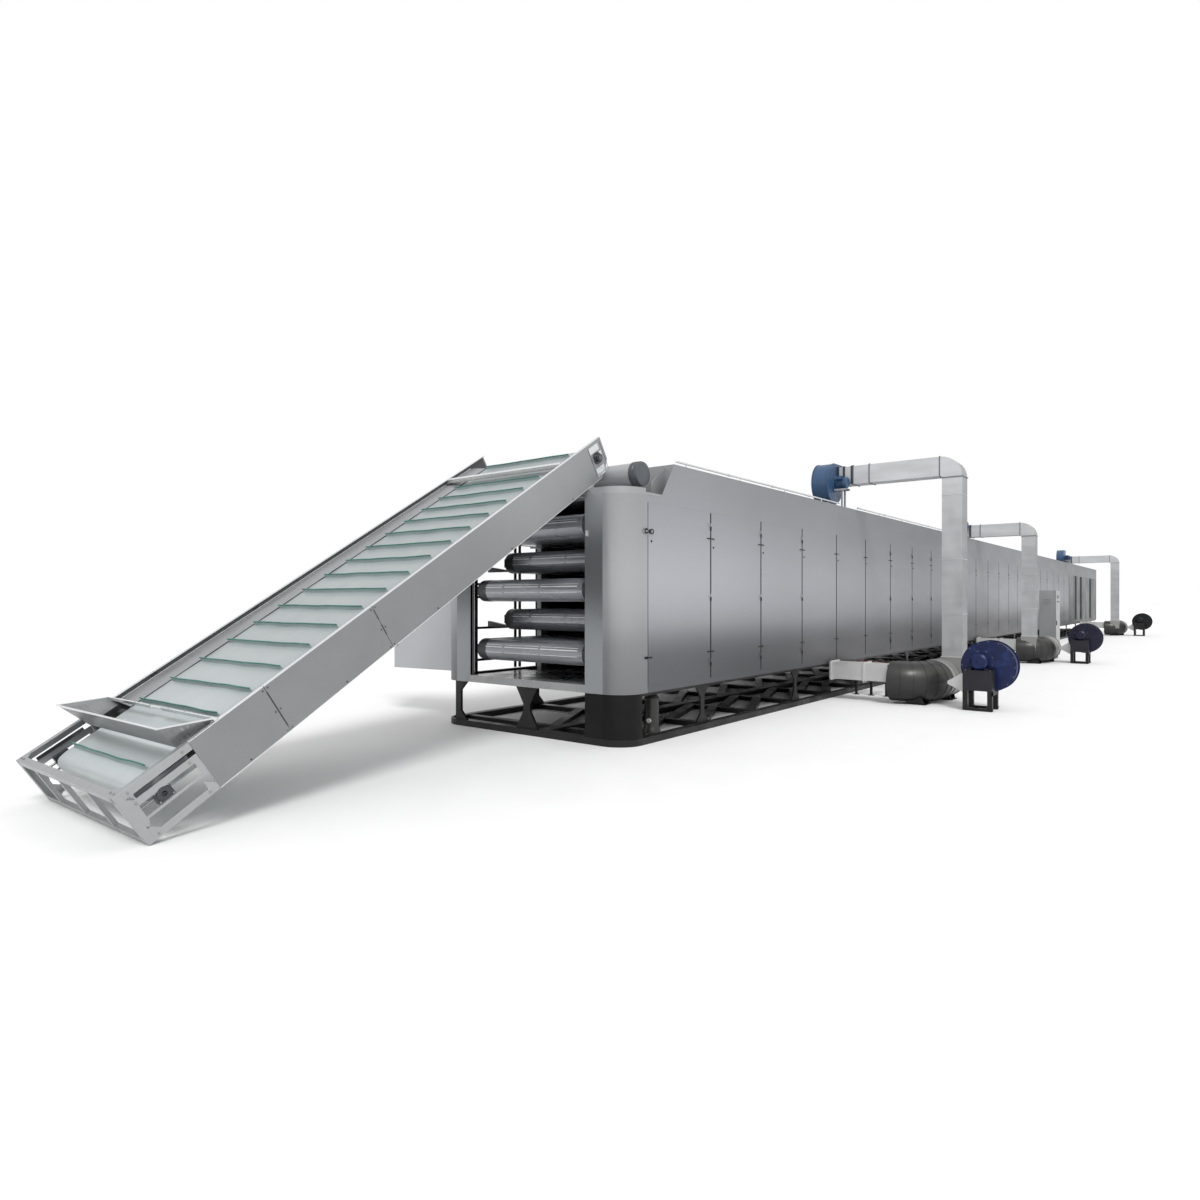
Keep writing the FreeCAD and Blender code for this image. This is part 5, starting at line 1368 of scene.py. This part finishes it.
SLEEVE_Y = 0.638                                # near end of the dark sleeve on a drum's far end
shape = Shape()
for layer in range(1, LAYERS + 1):
    x0, x1, z = drum_axes(layer)
    for side in (-1, 1):
        end_guard(shape, x0, z, side, 3 if side < 0 else 0)
        end_guard(shape, x1, z, side, 0)
    shape.tone = 3
    shape.tube((x0, -0.786, z), (x0, -0.728, z), 0.1236, 0.1196, 48)
    shape.tone = 4
    profile = [(0.1196, 0), (0.1242, 0.002), (0.1242, 0.07), (0.1225, 0.11), (0.1205, 0.135), (0.1196, 0.137)]
    shape.turned(profile, (x0, SLEEVE_Y, z), (0, 1, 0), 48)
    shape.turned([(r, 0.137 - w) for r, w in reversed(profile)], (x1, SLEEVE_Y, z), (0, 1, 0), 48)
far = SKIN - 0.112
shape.tone = 0
for z in (0.726, 0.905, 1.12, 1.5, 1.66):
    shape.block(0.45, 1.58, far, far + 0.012, z - 0.014, z + 0.014)
    shape.block(0.45, 1.58, far - 0.02, far, z - 0.014, z - 0.01)
shape.block(0.43, 0.455, far - 0.03, far, 0.53, 2.5)
for x in (0.9, 0.98):
    shape.block(x, x + 0.025, 1.02, 1.045, 0.62, 2.5)
shape.tone = 2
shape.block(1.42, 1.5, 1.06, 1.13, 0.53, 2.5)
shape.block(1.5, 1.535, 1.06, 1.066, 0.53, 2.5)
for layer in range(1, LAYERS + 1):
    z = drum_axes(layer)[2]
    for x in (1.36, 0.6):
        shape.prism([(x, 0.86, z - 0.1), (x, 1.2, z - 0.1), (x, 1.2, z - 0.03), (x, 0.86, z - 0.08)], (0.05, 0, 0))
piece("inside_bars", shape, HOUSING, [INNER, ZINC, PORTAL, MESH, BEARING])

# ---------------------------------------------------------------- tube over the feed end

TUBE_X, TUBE_Z = 0.45, 2.765
shape = Shape()
shape.tube((TUBE_X, -1.158, TUBE_Z), (TUBE_X, 1.158, TUBE_Z), 0.121, 0.117, 64)
for y in (-0.62, 0.0, 0.62):
    shape.tube((TUBE_X, y - 0.006, TUBE_Z), (TUBE_X, y + 0.006, TUBE_Z), 0.1225, 0.119, 48)
for side in (-1, 1):
    shape.tone = 1
    profile = [(0.124, 0), (0.131, 0.004), (0.131, 0.05), (0.1275, 0.054), (0.1275, 0.06), (0.131, 0.064),
               (0.13, 0.086), (0.122, 0.103), (0.098, 0.112), (0.04, 0.1148)]
    shape.turned(profile, (TUBE_X, side * 1.16, TUBE_Z), (0, side, 0), 48)
    shape.tone = 2
    shape.prism([(0.6, side * 1.261, 2.56), (0.87, side * 1.261, 2.56), (0.87, side * 1.261, 2.88),
                 (0.6, side * 1.261, 2.7)], (0, side * -0.003, 0))
    shape.block(0.6, 0.87, side * 1.225, side * 1.259, 2.56, 2.563)
    shape.block(TUBE_X - 0.06, TUBE_X + 0.06, side * 1.12, side * 1.15, 2.56, TUBE_Z - 0.124)
    shape.block(TUBE_X - 0.09, TUBE_X + 0.09, side * 1.1, side * 1.17, 2.56, 2.566)
    shape.bolts([(0.63 + 0.09 * k, side * 1.242, 2.563) for k in range(3)], (0, 0, 1), 0.007, 0.006)
piece("tube_and_caps", shape, HOUSING, [PLAIN, CAP, PORTAL], ["feed_tube"], smooth=30)

# ---------------------------------------------------------------- skirt, drive and tank in the base

shape = Shape()
bent_corner(shape, 0.0705, WALL_FOOT - 0.001, CORNER + 0.01, 0.004)
shape.tone = 1
centre = (CORNER, -SKIN + CORNER, 0)
outer = arc(centre, CORNER - 0.001, 180, 270, 20, PLAN)
inner = arc(centre, CORNER - 0.03, 180, 270, 20, PLAN)
shape.prism(outer + inner[::-1], (0, 0, 0.0695))
shape.place = FAR_SIDE
shape.prism(outer + inner[::-1], (0, 0, 0.0695))
piece("skirt_sheets", shape, HOUSING, [SKIRT, BLACK], ["corner_skirts"], 0.001)

drive_x, drive_y, drive_z = 0.62, -0.8, 0.23
shape = Shape(Matrix.Translation((drive_x, drive_y, drive_z)))
finned_motor(shape, (0, 0, 0), (0, 1, 0), 0.103, 0.328, 26)
shape.prism([(a, -0.138, b) for a, b in octagon(0.108, 0.08)], (0, 0.136, 0))
shape.turned([(0.075, 0), (0.07, 0.0), (0.03, 0.0)], (0, -0.1385, 0), (0, 1, 0), 24)
shape.block(-0.128, 0.128, -0.118, 0.298, 0.062 - drive_z, 0.074 - drive_z)
for y in (-0.1, 0.12, 0.27):
    shape.block(-0.1, 0.1, y, y + 0.014, 0.074 - drive_z, -0.09)
shape.block(0.03, 0.1, 0.12, 0.2, 0.07, 0.108)
shape.tone = 2
shape.bolts([(a, -0.1385, b) for a in (-0.085, 0.085) for b in (-0.085, 0.085)], (0, -1, 0), 0.009, 0.005)
shape.place = Matrix.Translation((drive_x + 0.05, drive_y - 0.415, 0))
shape.tone = 1
shape.turned([(0.096, 0.0705), (0.096, 0.1), (0.082, 0.12), (0.078, 0.16), (0.078, 0.4), (0.084, 0.41),
              (0.084, 0.43), (0.078, 0.44), (0.06, 0.466), (0.02, 0.473)], (0, 0, 0), (0, 0, 1), 32)
shape.tone = 3
shape.turned([(0.026, 0), (0.026, 0.008), (0.02, 0.01)], (-0.074, -0.02, 0.2), (-1, -0.2, 0), 20)
piece("base_drive", shape, HOUSING, [MOTOR, TANK, ZINC, BRIGHT], ["belt_gearmotor"], 0.0015)

# ---------------------------------------------------------------- pipework and the control box

LINE_Z = 0.45                                   # height of the pipes beside the heaters
shape = Shape()
for number in (1, 2):
    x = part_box("heater_%d" % number)[0].x + HEATER_RADIUS + 0.48
    for index in range(3):
        y = -1.5 - index * 0.23
        shape.tone = 0
        shape.rod((x, y, LINE_Z), (x + 0.62, y, LINE_Z), 0.038, 20)
        shape.tone = 3
        shape.rod((x + 0.18, y, 0), (x + 0.18, y, LINE_Z - 0.04), 0.021, 14)
        shape.turned([(0.05, 0), (0.05, 0.006), (0.024, 0.01)], (x + 0.18, y, 0), (0, 0, 1), 16)
        shape.tone = 0
        for f in (0.25, 0.265, 0.02, 0.585):
            shape.tube((x + f, y, LINE_Z), (x + f + 0.013, y, LINE_Z), 0.07 if 0.2 < f < 0.3 else 0.06, 0.037, 24)
        shape.turned([(0.036, 0), (0.058, 0.012), (0.058, 0.07), (0.036, 0.082)], (x + 0.34, y, LINE_Z),
                     (1, 0, 0), 20)
        shape.tone = 1
        shape.bolts([(x + 0.278, y + 0.056 * math.cos(a), LINE_Z + 0.056 * math.sin(a))
                     for a in (0.4, 1.45, 2.5, 3.55, 4.6, 5.65)], (1, 0, 0), 0.007, 0.006)
pipe_y = -SKIN + 0.055
pipe_z = ROOF + 0.05
shape.tone = 2
for start, end in ((1.0, 5.65), (6.42, 11.7)):
    shape.rod((start, pipe_y, pipe_z), (end, pipe_y, pipe_z), 0.0118, 12)
    for k in range(1, 4):
        x = start + (end - start) * k / 4
        shape.tube((x - 0.02, pipe_y, pipe_z), (x + 0.02, pipe_y, pipe_z), 0.0165, 0.0116, 12)
x = 1.2
while x < 12:
    if abs(x - 6.2) > 0.1:
        shape.rod((x, pipe_y, ROOF), (x, pipe_y, ROOF + 0.038), 0.0075, 10)
        shape.block(x - 0.02, x + 0.02, pipe_y - 0.014, pipe_y + 0.014, ROOF, ROOF + 0.004)
    x += PITCH
piece("pipe_runs", shape, HOUSING, [RUST, ZINC, BRIGHT, BLACK], ["pipework"], smooth=30)

BOX_LOW, BOX_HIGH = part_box("control_box")
LEAF_LOW, LEAF_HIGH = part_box("control_door")
shape = Shape()
x0, x1, y0, y1, top = BOX_LOW.x, BOX_HIGH.x, BOX_LOW.y, BOX_HIGH.y, BOX_HIGH.z
shape.pan(x0, x1, y1, y0, 0.08, top)
shape.block(x0 + 0.04, x1 - 0.04, y1 - 0.043, y1 - 0.04, 0.15, top - 0.08)
for z in (1.38, 1.42, 1.46, 1.5):
    shape.prism([(x0 - 0.001, y0 + 0.08, z), (x0 - 0.001, y1 - 0.08, z), (x0 - 0.008, y1 - 0.08, z - 0.012),
                 (x0 - 0.008, y0 + 0.08, z - 0.012)], (0, 0, 0.003))
shape.tone = 1
shape.block(x0 + 0.01, x1 - 0.01, y0 + 0.01, y1 - 0.01, 0, 0.0795)
for row in range(4):
    z = 0.32 + row * 0.34
    shape.block(x0 + 0.06, x1 - 0.06, y1 - 0.05, y1 - 0.043, z - 0.018, z + 0.018)
    for k in range(6):
        width = draw.uniform(0.045, 0.065)
        left = x0 + 0.075 + k * 0.075
        shape.block(left, left + width, y1 - 0.13, y1 - 0.05, z - 0.05, z + 0.05)
piece("control_shell", shape, HOUSING, [GREY_BOX, DARK_DOOR], ["control_box"], 0.0015)

shape = Shape()
x0, x1, y0, y1 = LEAF_LOW.x, LEAF_HIGH.x, LEAF_LOW.y, LEAF_HIGH.y
front = y1 - 0.024
shape.pan(x0, x1, front, y1, LEAF_LOW.z, LEAF_HIGH.z)
shape.tone = 1
shape.block(x0 + 0.04, x0 + 0.066, y0 + 0.004, front, 0.842, 0.958)
shape.rod((x0 + 0.053, y0 + 0.012, 0.9), (x0 + 0.053, y0, 0.9), 0.01, 14)
for k in range(3):
    shape.turned([(0.014, 0), (0.014, 0.008), (0.009, 0.012)], (x0 + 0.2 + 0.09 * k, front, 1.42), (0, -1, 0), 16)
shape.block(x0 + 0.19, x0 + 0.41, front - 0.006, front, 1.5, 1.58)
piece("control_door_leaf", shape, "control_door", [GREY_BOX, DARK_DOOR], ["control_door"], 0.0015)


# ---------------------------------------------------------------- stage, camera, light

def studio():
    scene = bpy.context.scene
    lens = bpy.data.cameras.new("view")
    lens.lens = 23.34
    lens.sensor_width = 36
    lens.clip_end = 300
    camera = bpy.data.objects.new("view", lens)
    camera.location = (-6.106, -5.89, 1.464)
    camera.rotation_euler = (math.radians(90), 0, -math.atan2(0.7838, 0.6210))
    scene.collection.objects.link(camera)
    scene.camera = camera

    world = bpy.data.worlds.new("studio")
    scene.world = world
    world.use_nodes = True
    nodes = world.node_tree.nodes
    links = world.node_tree.links
    fill = nodes["Background"]
    fill.inputs["Color"].default_value = (1, 1, 1, 1)
    fill.inputs["Strength"].default_value = 0.8
    clear = nodes.new("ShaderNodeBackground")
    clear.inputs["Color"].default_value = (1, 1, 1, 1)
    clear.inputs["Strength"].default_value = 1.0
    path = nodes.new("ShaderNodeLightPath")
    mix = nodes.new("ShaderNodeMixShader")
    links.new(path.outputs["Is Camera Ray"], mix.inputs["Fac"])
    links.new(fill.outputs["Background"], mix.inputs[1])
    links.new(clear.outputs["Background"], mix.inputs[2])
    links.new(mix.outputs["Shader"], nodes["World Output"].inputs["Surface"])

    sun = bpy.data.lights.new("key", "SUN")
    sun.energy = 1.6
    sun.angle = math.radians(18)
    key = bpy.data.objects.new("key", sun)
    key.rotation_euler = Vector((0.42, 0.5, -0.78)).to_track_quat("-Z", "Y").to_euler()
    scene.collection.objects.link(key)

    shape = Shape()
    reach = 260
    shape.face([shape.vertex(p) for p in ((-reach, -reach, 0), (reach, -reach, 0), (reach, reach, 0),
                                          (-reach, reach, 0))])
    mesh = bpy.data.meshes.new("floor")
    shape.mesh.to_mesh(mesh)
    floor = bpy.data.objects.new("floor", mesh)
    scene.collection.objects.link(floor)
    mesh.materials.append(look("floor_pale", linear(247, 247, 247), roughness=0.8, spread=0.01))
    scene.view_settings.view_transform = "Standard"


studio()
